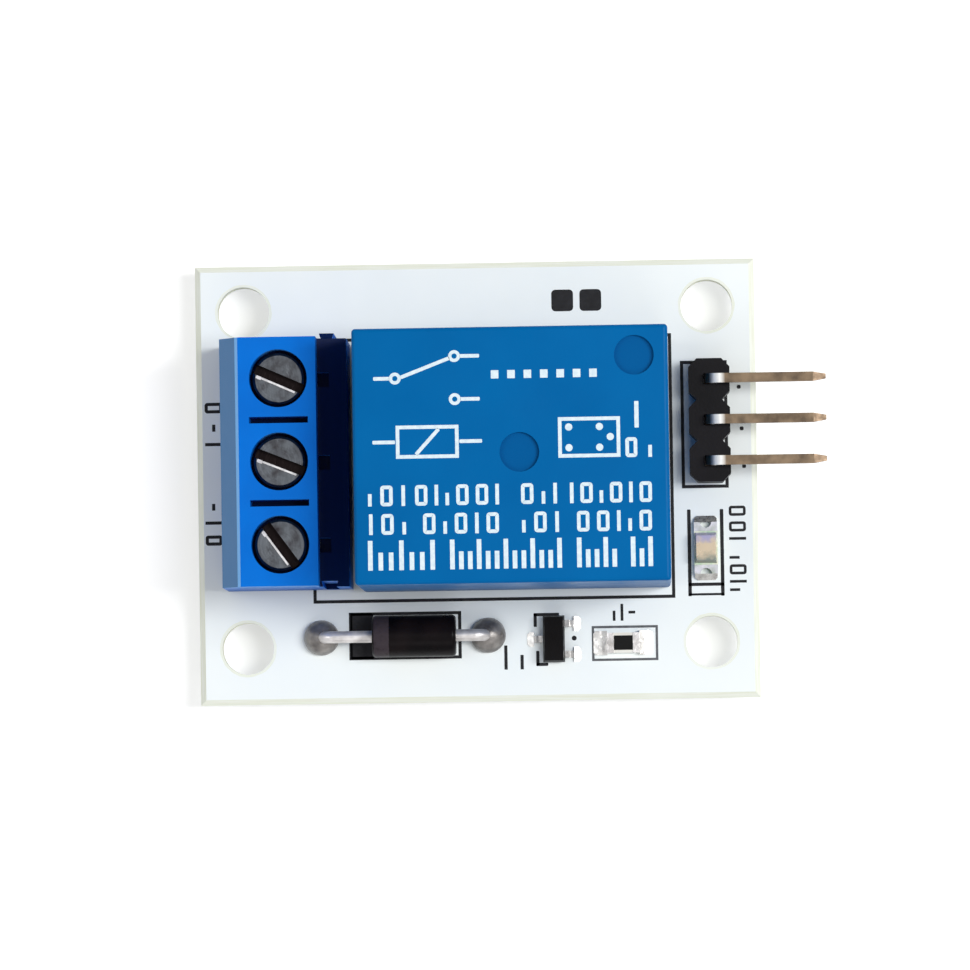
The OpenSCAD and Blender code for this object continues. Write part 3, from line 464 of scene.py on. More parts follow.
@dataclass(frozen=True)
class LampResin(Finish):
    """Clear cast resin over a lamp, tinted from end to end along Y.

    Attributes:
        from_y: Place of the violet end.
        to_y: Place of the green end.
        violet: Tint of the first end.
        cream: Tint of the middle.
        green: Tint of the second end.
        speck: Colour of the specks in the resin.
    """

    from_y: float = 1.0
    to_y: float = 0.0
    violet: Colour = shade(196, 190, 226)
    cream: Colour = shade(250, 226, 190)
    green: Colour = shade(150, 160, 146)
    speck: Colour = shade(214, 120, 70)

    def detail(self, sheet: NodeSheet) -> None:
        """Tints the resin and lets light through."""
        along = sheet.ramp(sheet.axis("Y"), self.from_y * MM, self.to_y * MM)
        ragged = sheet.math("ADD", along, sheet.ramp(sheet.noise(0.5, 3.0), 0.3, 0.7, -0.12, 0.12))
        upper = sheet.blend(sheet.ramp(ragged, 0.12, 0.36), self.violet, self.cream)
        colour = sheet.blend(sheet.ramp(ragged, 0.66, 0.9), upper, self.green)
        specks = sheet.ramp(sheet.noise(0.22, 2.0), 0.66, 0.72)
        colour = sheet.blend(specks, colour, self.speck)
        sheet.set(Base_Color=colour, Transmission_Weight=0.25, IOR=1.5, Coat_Weight=0.3,
                  Coat_Roughness=0.1)


@dataclass(frozen=True)
class Winding(Finish):
    """Enamelled copper wire."""

    def detail(self, sheet: NodeSheet) -> None:
        """Adds the shine of the enamel."""
        sheet.set(Coat_Weight=0.7, Coat_Roughness=0.12)


class Ink(Enum):
    """Inks that the prints use."""

    BLACK = "black_ink"
    GREY = "grey_ink"
    WHITE = "white_ink"


# Name, colour and second colour as display values, then roughness, spread, grain_mm,
# grain_depth, metal, specular and cloud_mm of each plain finish.
PLAIN_FINISHES = (
    ("black_moulding", (13, 12, 14), (24, 22, 25), 0.42, 0.08, 0.1, 0.008, 0.0, 0.1),
    ("black_epoxy", (11, 9, 10), (18, 16, 17), 0.4, 0.08, 0.1, 0.01, 0.0, 0.06),
    ("magnet_steel", (150, 150, 152), (128, 128, 132), 0.38, 0.1, 0.2, 0.006, 1.0),
    ("plated_brass", (205, 186, 140), (188, 166, 118), 0.3, 0.1, 0.2, 0.005, 1.0),
    ("contact_brass", (200, 170, 110), (182, 150, 92), 0.3, 0.1, 0.2, 0.005, 1.0),
    ("contact_silver", (222, 220, 215), (200, 196, 188), 0.25, 0.08, 0.1, 0.003, 1.0),
    ("tinned_copper", (232, 229, 228), (196, 192, 190), 0.27, 0.1, 0.3, 0.008, 1.0, 0.5, 0.8),
    ("solder", (226, 224, 220), (176, 173, 170), 0.34, 0.12, 0.5, 0.03, 0.85, 0.5, 0.5),
    ("bead_solder", (150, 146, 142), (96, 92, 90), 0.4, 0.1, 0.5, 0.05, 0.6, 0.5, 0.8),
    ("diode_lead", (226, 222, 220), (182, 178, 176), 0.38, 0.1, 0.3, 0.01, 0.5, 0.5, 0.8),
    ("lead_frame", (186, 184, 182), (140, 138, 136), 0.34, 0.1, 0.3, 0.01, 1.0, 0.5, 0.4),
    ("lamp_plating", (206, 204, 212), (150, 158, 146), 0.4, 0.1, 0.3, 0.01, 0.45, 0.5, 0.7),
    ("ceramic_white", (236, 234, 226), (226, 223, 212), 0.5, 0.06, 0.06, 0.004),
    ("resistor_glaze", (14, 14, 14), (24, 24, 24), 0.3, 0.06, 0.08, 0.004, 0.0, 0.1),
    # Painted highlight on the edges of the screw slots.
    ("slot_edge_highlight", (238, 236, 236), (170, 168, 168), 0.4, 0.1, 0.2, 0.01, 0.5, 0.5, 0.6),
    ("lamp_laminate", (236, 234, 214), (168, 208, 168), 0.45, 0.08, 0.1, 0.006, 0.0, 0.5, 0.5),
    ("lamp_die", (236, 206, 150), (214, 176, 130), 0.4, 0.05, 0.05, 0.002),
    (Ink.BLACK.value, (16, 16, 20), (30, 30, 34), 0.5, 0.08, 0.08, 0.004, 0.0, 0.2, 0.5),
    (Ink.GREY.value, (66, 68, 72), (92, 94, 98), 0.5, 0.08, 0.08, 0.004, 0.0, 0.5, 0.5),
    (Ink.WHITE.value, (222, 234, 240), (196, 216, 228), 0.5, 0.08, 0.06, 0.004, 0.0, 0.5, 0.3),
)


@dataclass
class Finishes:
    """All materials of the board, each made once."""

    made: dict[str, bpy.types.Material] = field(default_factory=dict)

    def add(self, finish: Finish) -> None:
        """Makes a material from a finish and keeps it by its name."""
        self.made[finish.name] = finish.material()

    def mix_all(self) -> None:
        """Makes every finish that isn't tied to one piece."""
        for name, colour, drift, *rest in PLAIN_FINISHES:
            self.add(Finish(name, shade(*colour), shade(*drift), *rest))
        for finish in (
            SolderMask("white_mask", shade(241, 246, 245), shade(236, 242, 243), 0.42, 0.05,
                       0.5, 0.003, specular=0.25),
            SolderMask("masked_copper", shade(232, 238, 232), shade(226, 233, 228), 0.4, 0.05,
                       0.5, 0.003, specular=0.3, laminate=shade(226, 233, 228),
                       fibre=shade(220, 228, 220), ring_r=0.0),
            # Painted shade low down, painted sheen on the brow, painted highlight on the near end.
            BlockMoulding("block_blue", shade(0, 112, 212), shade(0, 104, 202), 0.4, 0.05, 0.15,
                          0.006, specular=0.07, foot_shade=shade(0, 84, 168), low_mm=1.6, high_mm=9.0,
                          brow_mm=8.0),
            # Painted shade towards the foot and in the dimples of the top.
            Moulding("case_blue", shade(0, 99, 163), shade(0, 93, 156), 0.34, 0.04, 0.2, 0.004,
                     specular=0.04, foot_shade=shade(0, 82, 142), low_mm=2.0, high_mm=15.5,
                     cloud_mm=6.0, recess_shade_top_mm=17.1),
            # The header pins get a painted highlight on their bends.
            PinPlating("header_plating", shade(122, 105, 86), shade(86, 74, 62), 0.42, 0.1, 0.5,
                       0.012, 1.0, cloud_mm=0.9, bend_x=14.95, tip_x=20.87),
            Winding("copper_wire", shade(190, 108, 60), shade(160, 82, 44), 0.32, 0.06, 0.1,
                    0.004, 1.0),
            LampResin("clear_resin", shade(250, 242, 222), shade(240, 222, 190), 0.22, 0.06, 0.2,
                      0.006, cloud_mm=0.8, from_y=-3.75, to_y=-5.6),
        ):
            self.add(finish)

    def dress(self, coats: dict[str, Iterable[str]]) -> None:
        """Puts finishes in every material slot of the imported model's own pieces.

        Args:
            coats: The names of the pieces that each finish goes on.
        """
        for finish, nodes in coats.items():
            for node in nodes:
                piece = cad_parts[node]
                if piece.material_slots:
                    for slot in piece.material_slots:
                        slot.material = self.made[finish]
                else:
                    piece.data.materials.append(self.made[finish])
                LOG.info("dressed %s in %s", node, finish)


class Bench:
    """Modelling steps that every sub-assembly uses."""

    @staticmethod
    def clear() -> None:
        """Leaves nothing selected and no edit mode."""
        if bpy.context.object and bpy.context.object.mode != "OBJECT":
            bpy.ops.object.mode_set(mode="OBJECT")
        bpy.ops.object.select_all(action="DESELECT")

    @staticmethod
    def plate(x: float, y: float, length: float, width: float, top: float, thick: float,
              turn: float = 0.0, round_mm: float = 0.0, line: float = 0.0) -> Piece:
        """Makes a flat plate, or a border if a line width is given.

        Args:
            x: Centre along X.
            y: Centre along Y.
            length: Size along X before the turn.
            width: Size along Y before the turn.
            top: Height of the upper face.
            thick: Thickness.
            turn: Turn about Z in degrees.
            round_mm: Rounding of the corners.
            line: Width of the border, or 0 for a full plate.

        Returns:
            The plate, with its place in its mesh.
        """
        Bench.clear()
        bpy.ops.mesh.primitive_plane_add(size=1.0, location=(x * MM, y * MM, top * MM),
                                         rotation=(0, 0, math.radians(turn)))
        plate = bpy.context.object
        plate.scale = (length * MM, width * MM, 1.0)
        return Bench.finish_flat(plate, thick, round_mm, line)

    @staticmethod
    def disc(x: float, y: float, radius: float, top: float, thick: float,
             line: float = 0.0) -> Piece:
        """Makes a flat disc, or a ring if a line width is given."""
        Bench.clear()
        bpy.ops.mesh.primitive_circle_add(vertices=40, radius=radius * MM, fill_type="NGON",
                                          location=(x * MM, y * MM, top * MM))
        return Bench.finish_flat(bpy.context.object, thick, 0.0, line)

    @staticmethod
    def finish_flat(flat: Piece, thick: float, round_mm: float, line: float) -> Piece:
        """Rounds a flat face's corners, cuts out its inside if asked, and thickens it downwards."""
        Bench.settle()
        bpy.ops.object.mode_set(mode="EDIT")
        bpy.ops.mesh.select_all(action="SELECT")
        if round_mm > 0:
            bpy.ops.mesh.bevel(offset=round_mm * MM, segments=4, affect="VERTICES")
        if line > 0:
            bpy.ops.mesh.inset(thickness=line * MM, depth=0.0)
            bpy.ops.mesh.delete(type="FACE")
        bpy.ops.object.mode_set(mode="OBJECT")
        modifier = flat.modifiers.new("thickness", "SOLIDIFY")
        modifier.thickness = thick * MM
        modifier.offset = -1.0
        bpy.ops.object.modifier_apply(modifier=modifier.name)
        return flat

    @staticmethod
    def settle() -> None:
        """Moves the new piece's place, turn and size into its mesh."""
        bpy.ops.object.transform_apply(location=True, rotation=True, scale=True)

    @staticmethod
    def join(pieces: Sequence[Piece], name: str) -> Piece:
        """Joins pieces into one and names it."""
        Bench.clear()
        for piece in pieces:
            piece.select_set(True)
        bpy.context.view_layer.objects.active = pieces[0]
        if len(pieces) > 1:
            bpy.ops.object.join()
        joined = bpy.context.object
        joined.name = name
        joined.data.name = name
        return joined


@dataclass
class Printer:
    """Collects the flat shapes of one ink on one surface and joins them into a piece.

    Attributes:
        top: Height of the printed surface.
        lift: How far the ink stands above it.
        thick: Thickness of the ink's plates, which are let into the surface.
        low: Height of a half bar in a row, as a share of the row's height.
        soft_mm: Rounding of the marks in a row.
        shapes: What is printed so far.
    """

    top: float
    lift: float = 0.008
    thick: float = 0.03
    low: float = 0.6
    soft_mm: float = 0.02
    shapes: list[Piece] = field(default_factory=list)

    def bar(self, x: float, y: float, length: float, width: float, turn: float = 0.0,
            round_mm: float = 0.04) -> None:
        """Prints a bar with softened corners, centred at a place."""
        self.shapes.append(Bench.plate(x, y, length, width, self.top + self.lift, self.thick, turn,
                                       round_mm))

    def stroke(self, start: Point, end: Point, line: float, softness: float = 0.25) -> None:
        """Prints a straight line between two points, with its ends run on by half its width.

        Args:
            start: Place of one end.
            end: Place of the other end.
            line: Width of the line.
            softness: Rounding of its corners, as a share of the width.
        """
        run = Vector((end[0] - start[0], end[1] - start[1]))
        self.bar((start[0] + end[0]) / 2, (start[1] + end[1]) / 2, run.length + line, line,
                 math.degrees(math.atan2(run.y, run.x)), line * softness)

    def border(self, x0: float, y0: float, x1: float, y1: float, line: float,
               round_mm: float = 0.0) -> None:
        """Prints the outline of a rectangle, with rounded corners if a rounding is given."""
        self.shapes.append(Bench.plate((x0 + x1) / 2, (y0 + y1) / 2, x1 - x0, y1 - y0,
                                       self.top + self.lift, self.thick, 0.0, round_mm, line))

    def dot(self, x: float, y: float, radius: float, line: float = 0.0) -> None:
        """Prints a dot, or a ring if a line width is given."""
        self.shapes.append(Bench.disc(x, y, radius, self.top + self.lift, self.thick, line))

    def row(self, start: Point, length: float, height: float, line: float, marks: str,
            turn: float = 0.0) -> None:
        """Prints a row of plain boxes, bars and dashes that fills a length.

        Args:
            start: Place of the row's lower left corner, as it is read.
            length: Length of the row.
            height: Height of the marks.
            line: Width of their lines.
            marks: A letter for each mark: o for a box, i for a bar, h for a half bar,
                - for a dash, and a space.
            turn: 0 for a row that runs towards +X, -90 for one that runs towards -Y.
        """
        widths = {"o": 0.6 * height, "i": line, "h": line, "-": 0.4 * height, " ": 0.3 * height}
        spare = length - sum(widths[mark] for mark in marks)
        gap = spare / max(1, len(marks) - 1)
        cosine, sine = round(math.cos(math.radians(turn))), round(math.sin(math.radians(turn)))

        def spot(along: float, up: float) -> Point:
            """Returns the place of a point given along and across the row."""
            return (start[0] + along * cosine - up * sine, start[1] + along * sine + up * cosine)

        along = 0.0
        for mark in marks:
            middle = along + widths[mark] / 2
            if mark == "o":
                (x0, y0), (x1, y1) = spot(along, 0.0), spot(along + widths[mark], height)
                self.border(min(x0, x1), min(y0, y1), max(x0, x1), max(y0, y1), line, height * 0.16)
            elif mark in "ih":
                tall = height if mark == "i" else self.low * height
                self.bar(*spot(middle, tall / 2), tall, line, turn + 90.0, self.soft_mm)
            elif mark == "-":
                self.bar(*spot(middle, height / 2), widths[mark], line, turn, self.soft_mm)
            along += widths[mark] + gap

    def finish(self, name: str, material: bpy.types.Material, body: str) -> None:
        """Joins the shapes, dresses them and lets them ride on a body."""
        piece = Bench.join(self.shapes, name)
        piece.data.materials.append(material)
        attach(piece, body)
        LOG.info("printed %s", name)


@dataclass
class CircuitBoard:
    """The board and the ink on its upper side.

    Attributes:
        line: Width of the black lines.
        grey_line: Width of the grey lines.
        outlines: Outlines round the relay, the header and the diode, from corner to corner.
        filled: Middle and size of the filled end of the diode's outline.
        resistor_frame: Outline round the resistor.
        brackets: Lines of the two corner brackets by the transistor.
        dot: Place and radius of the dot beside it.
        lamp_lines: Ends and width of each line of the open frame round the lamp.
        rows: Rows of plain marks in the places of the lettering, as Printer.row takes them.
        pin_marks: Places of the marks beside the header's pins.
        pin_mark_mm: Size of those marks.
        squares: Places of the two squares at the board's upper edge.
        square_mm: Size of those squares.
    """

    finishes: Finishes
    line: float = 0.2
    grey_line: float = 0.15
    outlines: tuple[Box, ...] = ((-10.3, -7.71, 12.18, 8.75), (12.7, -0.92, 15.61, 7.01),
                                 (-8.12, -11.26, -1.14, -8.31))
    filled: Box = (-7.31, -9.785, 1.42, 2.85)
    resistor_frame: Box = (6.95, -11.56, 11.06, -9.38)
    brackets: tuple = (
        ((3.45, -8.62), (4.84, -8.62)), ((3.45, -8.62), (3.45, -9.28)),
        ((3.58, -10.97), (3.58, -11.71)), ((3.58, -11.71), (4.12, -11.71)))
    dot: tuple[float, float, float] = (5.86, -10.11, 0.15)
    lamp_lines: tuple = (
        ((13.1, -2.35), (13.1, -7.52), 0.22), ((15.13, -2.35), (15.13, -7.52), 0.22),
        ((13.1, -7.52), (15.13, -7.52), 0.14), ((13.1, -6.9), (15.13, -6.9), 0.2))
    rows: tuple = (
        ((-16.9, 4.89), 2.7, 1.1, 0.2, "o-i", -90.0),
        ((-16.95, -1.4), 2.6, 1.05, 0.2, "-io", -90.0),
        ((15.58, -2.05), 5.3, 1.05, 0.17, "ooi hoih", -90.0),
        ((1.5, -12.0), 1.2, 1.5, 0.2, "ih"),
        ((8.27, -9.08), 1.4, 1.05, 0.17, "hi-"))
    pin_marks: tuple[Point, ...] = ((16.33, 5.34), (16.47, 2.75), (16.58, 0.41))
    pin_mark_mm: float = 0.24
    squares: tuple[Point, ...] = ((5.45, 10.9), (7.2, 10.9))
    square_mm: float = 1.35

    def build(self) -> None:
        """Dresses the board and prints the outlines and plain marks on it."""
        self.finishes.dress({"white_mask": ("circuit_board",)})
        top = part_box("circuit_board")[1].z / MM
        black = Printer(top)
        for outline in self.outlines:
            black.border(*outline, self.line)
        black.bar(*self.filled)
        for start, end in self.brackets:
            black.stroke(start, end, self.line)
        black.dot(*self.dot)
        for start, end, line in self.lamp_lines:
            black.stroke(start, end, line)
        for row in self.rows:
            black.row(*row)
        for x, y in self.pin_marks:
            black.bar(x, y, self.pin_mark_mm, self.pin_mark_mm, round_mm=0.08)
        for x, y in self.squares:
            black.bar(x, y, self.square_mm, self.square_mm, round_mm=0.25)
        black.finish("board_print_black", self.finishes.made[Ink.BLACK.value], "module")
        grey = Printer(top)
        grey.border(*self.resistor_frame, self.grey_line)
        grey.finish("board_print_grey", self.finishes.made[Ink.GREY.value], "module")


@dataclass
class Tracks:
    """The copper tracks under the mask of the board's underside.

    Attributes:
        sink: How far the masked copper is let into the board.
        stand: How far it stands out of it.
        step: Difference in height between one length and the next, so that no two faces meet
            in one plane where they overlap.
        softness: Rounding of the ends, as a share of the width.
        routes: Width of each track and the places that it runs through.
    """

    finishes: Finishes
    sink: float = 0.02
    stand: float = 0.03
    step: float = 0.004
    softness: float = 0.495
    routes: tuple = (
        (2.2, ((-9.95, 5.83), (-6.2, 6.7), (-4.6, 6.7))),
        (2.2, ((-9.95, 0.75), (-4.0, 0.7), (9.6, 0.7))),
        (2.2, ((-9.95, -4.33), (-6.4, -5.3), (-4.6, -5.3))),
        (0.6, ((-9.82, -9.85), (-7.6, -7.6), (5.4, -7.6), (7.6, -5.3))),
        (0.6, ((0.52, -9.85), (2.0, -9.2), (10.4, -9.2), (11.4, -8.2), (11.4, 5.2), (9.9, 6.7),
               (7.6, 6.7))),
        (0.5, ((14.47, 0.66), (13.2, -0.6), (13.2, -7.6), (12.0, -9.2), (12.0, -10.4),
               (10.2, -10.4))),
    )

    def build(self) -> None:
        """Lays every track, with round bends."""
        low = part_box("circuit_board")[0].z / MM
        copper = Printer(low, self.sink)
        for width, places in self.routes:
            for i, (start, end) in enumerate(zip(places, places[1:])):
                copper.thick = self.sink + self.stand - self.step * (i % 3)
                copper.stroke(start, end, width, self.softness)
        copper.finish("board_tracks", self.finishes.made["masked_copper"], "module")


@dataclass
class TerminalBlock:
    """The three-way screw terminal block.

    Attributes:
        slot_turns: Turn of each screw's slot at rest, in degrees.
        slot_highlights: Shift along the slot, distance across it, length and width of each
            highlight.
        lift: How far the painted highlights stand above the head.
    """

    finishes: Finishes
    slot_turns: tuple[float, float, float] = (-24.0, -22.0, -54.0)
    # Painted highlights on the edges of the slots.
    slot_highlights: tuple = ((0.15, 0.37, 2.2, 0.12), (-1.14, 0.4, 0.36, 0.2))
    lift: float = 0.012

    def build(self) -> None:
        """Dresses the housing, the screws, the cages and the contacts."""
        self.finishes.dress({"block_blue": ("terminal_housing",), "solder": ("block_solder",)})
        for i in WAYS:
            low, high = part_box(f"clamp_screw_{i}")
            middle = (low + high) / 2 / MM
            self.finishes.add(TurnedSteel(
                f"turned_steel_{i}", shade(94, 98, 103), shade(46, 49, 54), 0.4, 0.1, 0.15,
                0.01, 1.0, cloud_mm=0.8, axis_x=middle.x, axis_y=middle.y, top_z=high.z / MM))
            self.finishes.dress({
                f"turned_steel_{i}": (f"clamp_screw_{i}",),
                "plated_brass": (f"clamp_cage_{i}",),
                "tinned_copper": (f"terminal_contact_{i}",)})
            self.paint_slot_highlights(i, middle.x, middle.y, high.z / MM)

    def paint_slot_highlights(self, i: int, x: float, y: float, top: float) -> None:
        """Puts painted highlights on the edges of one screw's slot.

        Args:
            i: Number of the screw.
            x: Place of its axis along X.
            y: Place of its axis along Y.
            top: Height of the head.
        """
        turn = math.radians(self.slot_turns[i - 1])
        along = Vector((math.cos(turn), math.sin(turn)))
        across = Vector((math.sin(turn), -math.cos(turn)))
        ink = Printer(top, self.lift)
        # Each bar is a painted highlight along an edge of the slot.
        for shift, off, length, width in self.slot_highlights:
            place = Vector((x, y)) + along * shift + across * off
            ink.bar(place.x, place.y, length, width, self.slot_turns[i - 1], width * 0.3)
        ink.finish(f"slot_highlight_{i}", self.finishes.made["slot_edge_highlight"], f"screw_{i}")


@dataclass
class Relay:
    """The relay: its case with the print on it, its base and its works.

    Attributes:
        lift: How far the print stands above the case.
        stroke: Width of the lines of the diagrams.
        ring: Radius and line width of the diagrams' contact points.
        pins: Places of the dots in the plan of the pins.
        rows: Height, middle along Y and line width of each row of plain marks, then the start,
            the end and the marks of each group in it.
    """

    finishes: Finishes
    lift: float = 0.006
    stroke: float = 0.22
    ring: Point = (0.36, 0.2)
    pins: tuple[Point, ...] = ((5.85, 1.05), (5.85, 2.3), (7.7, 1.05), (7.7, 2.3), (8.35, 1.68))
    rows: tuple = (
        (1.25, -1.68, 0.22, ((-6.33, -4.09, "hoi"), (-3.49, 1.58, "oihooi"),
                             (2.91, 5.08, "ohi"), (5.86, 10.81, "iohoio"))),
        (1.25, -3.4, 0.22, ((-6.29, -4.06, "ioh"), (-3.03, 1.55, "ohoio"),
                            (2.94, 5.17, "hoi"), (6.26, 10.78, "ooiho"))),
        (1.8, -5.28, 0.28, ((-6.38, -2.34, "ihhihhi"), (-1.43, 5.32, "ihhihhihhihhi"),
                            (6.23, 8.64, "ihhih"), (9.48, 10.81, "ihi"))),
    )

    def build(self) -> None:
        """Dresses the relay's pieces and prints its top."""
        self.finishes.dress({
            "case_blue": ("relay_cover",),
            "black_moulding": ("relay_base", "relay_bobbin"),
            "magnet_steel": ("relay_yoke", "relay_core", "relay_armature"),
            "copper_wire": ("relay_coil",),
            "contact_brass": ("relay_leaf_spring", "relay_open_contact", "relay_closed_contact",
                              "relay_common_pin"),
            "contact_silver": ("relay_moving_contact",),
            "tinned_copper": ("relay_coil_pin_1", "relay_coil_pin_2"),
            "solder": ("relay_solder",)})
        self.print_top()

    def print_top(self) -> None:
        """Prints plain diagrams and rows of plain marks in the places of the markings."""
        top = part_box("relay_cover")[1].z / MM
        ink = Printer(top, self.lift)
        self.print_contacts(ink, -4.6, 5.4)
        self.print_coil(ink, -2.7, 1.55)
        ink.row((1.2, 4.98), 6.4, 1.15, 0.5, "-------")
        self.print_pins(ink)
        for height, y, line, words in self.rows:
            for start, end, marks in words:
                ink.row((start, y - height / 2), end - start, height, line, marks)
        ink.finish("relay_print", self.finishes.made[Ink.WHITE.value], "module")

    def print_contacts(self, ink: Printer, x: float, y: float) -> None:
        """Prints a changeover contact: two fixed points, and an arm that rests on one."""
        ink.dot(x, y, *self.ring)
        ink.stroke((x + 0.45, y + 0.1), (x + 3.2, y + 1.15), self.stroke)
        for side in (-1, 1):
            ink.dot(x + 3.6, y + side * 1.3, *self.ring)
            ink.stroke((x + 4.05, y + side * 1.3), (x + 5.0, y + side * 1.3), self.stroke)
        ink.stroke((x - 1.2, y), (x - 0.45, y), self.stroke)

    def print_coil(self, ink: Printer, x: float, y: float) -> None:
        """Prints a coil: a box with a slanting stroke and a lead at each end."""
        ink.border(x - 1.9, y - 1.0, x + 1.9, y + 1.0, self.stroke)
        ink.stroke((x - 0.62, y - 0.68), (x + 0.62, y + 0.68), self.stroke)
        for side in (-1, 1):
            ink.stroke((x + side * 2.05, y), (x + side * 3.2, y), self.stroke)

    def print_pins(self, ink: Printer) -> None:
        """Prints a small plan of the five pins, and plain marks beside it."""
        ink.border(5.2, 0.45, 8.95, 2.9, self.stroke)
        for x, y in self.pins:
            ink.dot(x, y, 0.22)
        ink.bar(9.95, 3.0, 0.26, 1.6, 0.0, 0.03)
        ink.row((9.25, 0.42), 1.6, 1.2, self.stroke, "oh")


@dataclass
class PinHeader:
    """The bent three-way pin header."""

    finishes: Finishes

    def build(self) -> None:
        """Dresses the body and the pins."""
        self.finishes.dress({
            "black_moulding": ("header_body",),
            "header_plating": (f"header_pin_{i}" for i in WAYS),
            "solder": ("header_solder",)})


@dataclass
class SmallParts:
    """The diode, the transistor, the resistor and the lamp.

    Attributes:
        band_offset: Distance from the diode's left end to its band.
        band_width: Width of the band.
    """

    finishes: Finishes
    band_offset: float = 0.15
    band_width: float = 0.95

    def build(self) -> None:
        """Dresses every small part and its solder."""
        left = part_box("diode_body")[0].x / MM + self.band_offset
        self.finishes.add(BandedEpoxy(
            "diode_epoxy", shade(11, 9, 11), shade(24, 18, 19), 0.3, 0.06, 0.15, 0.008,
            specular=0.06, band_from=left, band_to=left + self.band_width))
        self.finishes.dress({
            "diode_epoxy": ("diode_body",),
            "diode_lead": ("diode_lead_1", "diode_lead_2"),
            "bead_solder": ("diode_solder",),
            "black_epoxy": ("transistor_body",),
            "lead_frame": (f"transistor_lead_{i}" for i in WAYS),
            "solder": ("transistor_solder", "resistor_solder", "lamp_solder"),
            "ceramic_white": ("resistor_body",),
            "resistor_glaze": ("resistor_film",),
            "tinned_copper": ("resistor_caps",),
            "lamp_plating": ("lamp_terminals",),
            "lamp_laminate": ("lamp_base",),
            "lamp_die": ("lamp_chip",),
            "clear_resin": ("lamp_lens",)})


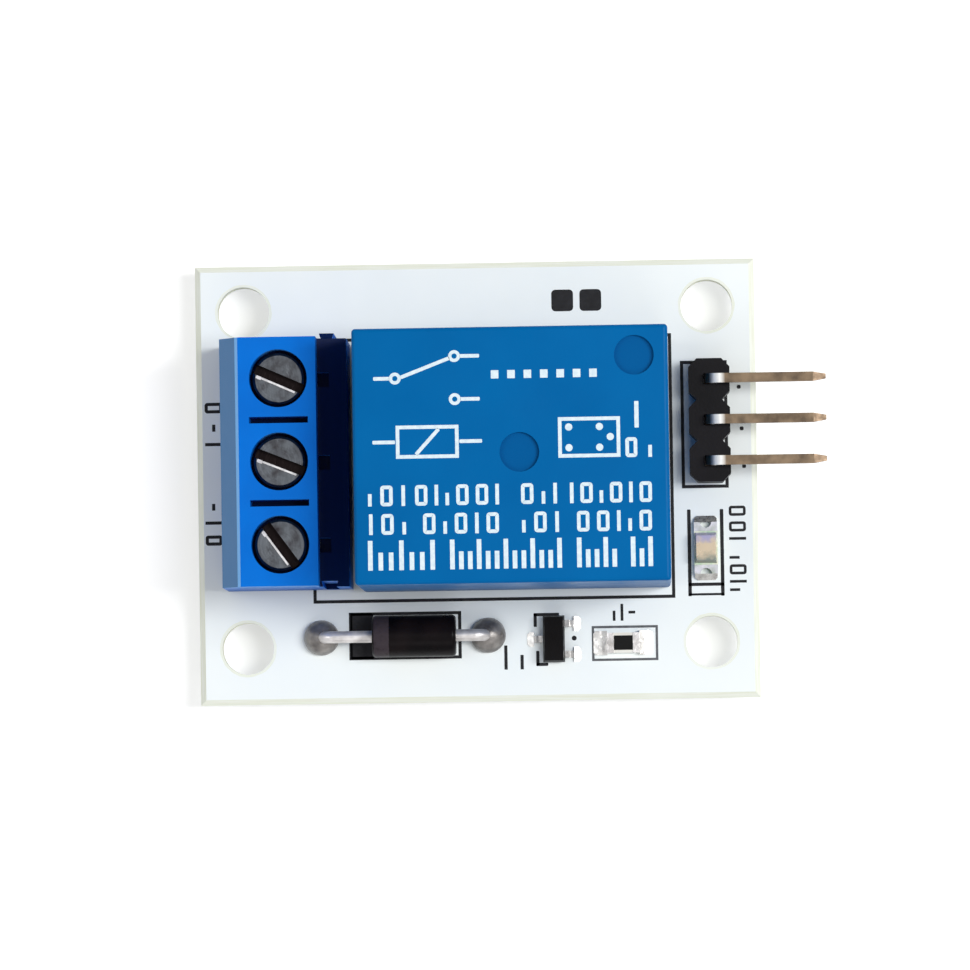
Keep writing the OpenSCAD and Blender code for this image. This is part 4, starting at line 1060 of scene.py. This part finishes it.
@dataclass
class Studio:
    """Floor, lamps, surroundings and camera.

    Attributes:
        target: Point that the camera looks at.
        distance: Camera to target.
        lean: Lean of the camera from straight above towards -Y, in degrees.
        swing: Lean of the camera towards +X, in degrees.
        roll: Turn of the picture, in degrees.
        lens: Focal length.
        fill: Brightness of the surroundings.
        gloss: Brightness of the surroundings in reflections.
        floor_metres: Size of the floor, in metres.
        floor_gap: Distance from the lowest pin down to the floor.
        glow: Light that the floor adds where it is seen, straight or in a reflection.
        lamp_metres: Distance of each lamp from the board, in metres.
        lamps: Name, angle towards +X, angle towards +Y, size and level of each lamp.
    """

    target: tuple[float, float, float] = (0.468, -0.506, 1.6)
    distance: float = 532.4
    lean: float = 2.266
    swing: float = 1.024
    roll: float = -0.911
    lens: float = 317.95
    fill: float = 0.37
    gloss: float = 0.7
    floor_metres: float = 6.0
    floor_gap: float = 0.02
    glow: float = 0.38
    lamp_metres: float = 0.6
    lamps: tuple = (
        ("key", 30.0, 4.0, (0.14, 0.34), 0.61),
        ("left_fill", -38.0, 2.0, (0.30, 0.30), 0.11),
        ("front_fill", 6.0, -42.0, (0.34, 0.20), 0.07))

    def build(self) -> None:
        """Builds the whole studio."""
        self.floor()
        self.surroundings()
        for lamp in self.lamps:
            self.lamp(*lamp)
        self.camera()

    def floor(self) -> None:
        """Lays a white floor under the lowest point of the board's pins."""
        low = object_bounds()[0]
        Bench.clear()
        bpy.ops.mesh.primitive_plane_add(size=self.floor_metres,
                                         location=(0, 0, low.z - self.floor_gap * MM))
        floor = bpy.context.object
        floor.name = "floor"
        Bench.settle()
        material = bpy.data.materials.new("floor_white")
        sheet = NodeSheet(material)
        sheet.set(Base_Color=(0.9, 0.9, 0.9), Roughness=0.9, Specular_IOR_Level=0.1)
        path = sheet.add("ShaderNodeLightPath")
        seen = sheet.math("MAXIMUM", path.outputs["Is Camera Ray"], path.outputs["Is Glossy Ray"])
        seen = sheet.math("MAXIMUM", seen, path.outputs["Is Transmission Ray"])
        strength = sheet.math("MULTIPLY", seen, self.glow)
        glow = sheet.add("ShaderNodeEmission", {"Color": (1.0, 1.0, 1.0), "Strength": strength})
        both = sheet.add("ShaderNodeAddShader", {0: sheet.shader.outputs[0], 1: glow.outputs[0]})
        output = sheet.tree.nodes["Material Output"]
        sheet.tree.links.new(both.outputs[0], output.inputs["Surface"])
        floor.data.materials.append(material)
        floor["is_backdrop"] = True

    def surroundings(self) -> None:
        """Lights the scene softly from all round, with a white view behind."""
        world = bpy.data.worlds.new("studio")
        bpy.context.scene.world = world
        sheet = NodeSheet(world)
        rays = sheet.add("ShaderNodeLightPath").outputs
        level = sheet.ramp(rays["Is Glossy Ray"], 0.0, 1.0, self.fill, self.gloss)
        level = sheet.ramp(rays["Is Camera Ray"], 0.0, 1.0, level, 1.0)
        sheet.set(Color=(1.0, 1.0, 1.0), Strength=level)

    def lamp(self, name: str, right: float, back: float, size: Point, level: float) -> None:
        """Hangs a rectangular lamp that looks at the board.

        Args:
            name: Name of the lamp.
            right: Angle from straight above towards +X, in degrees.
            back: Angle from straight above towards +Y, in degrees.
            size: Width along Y and width across it, in metres.
            level: Brightness that it gives a level white surface, as a share of white.
        """
        data = bpy.data.lights.new(name, "AREA")
        data.shape = "RECTANGLE"
        data.size, data.size_y = size
        spot = Vector((math.tan(math.radians(right)), math.tan(math.radians(back)), 1.0))
        spot = spot.normalized() * self.lamp_metres
        data.energy = level * math.pi ** 2 * spot.length_squared / (spot.z / spot.length)
        lamp = bpy.data.objects.new(name, data)
        bpy.context.scene.collection.objects.link(lamp)
        lamp.location = spot
        lamp.rotation_euler = (-spot).to_track_quat("-Z", "Y").to_euler()

    def camera(self) -> None:
        """Sets the camera above the board, leaning a little towards its lower edge."""
        lean, swing = math.radians(self.lean), math.radians(self.swing)
        back = Vector((math.sin(swing), -math.sin(lean) * math.cos(swing),
                       math.cos(lean) * math.cos(swing)))
        data = bpy.data.cameras.new("camera")
        data.lens = self.lens
        data.sensor_width = 36.0
        data.clip_start, data.clip_end = 0.05, 20.0
        camera = bpy.data.objects.new("camera", data)
        bpy.context.scene.collection.objects.link(camera)
        side = (-back).cross(Vector((0, 1, 0))).normalized()
        up = side.cross(-back)
        roll = math.radians(self.roll)
        right = side * math.cos(roll) + up * math.sin(roll)
        above = up * math.cos(roll) - side * math.sin(roll)
        matrix = Matrix((right, above, back)).transposed().to_4x4()
        matrix.translation = Vector(self.target) * MM + back * self.distance * MM
        camera.matrix_world = matrix
        bpy.context.scene.camera = camera


def main(cad_box: tuple[Vector, Vector]) -> None:
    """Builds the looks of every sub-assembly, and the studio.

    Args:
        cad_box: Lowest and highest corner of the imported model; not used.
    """
    logging.basicConfig(level=logging.INFO, format="%(name)s: %(message)s")
    finishes = Finishes()
    finishes.mix_all()
    for part in (CircuitBoard, Tracks, TerminalBlock, Relay, PinHeader, SmallParts):
        part(finishes).build()
    Studio().build()
    bpy.context.scene.view_settings.view_transform = "Standard"


if __name__ == "__main__":
    main(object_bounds())
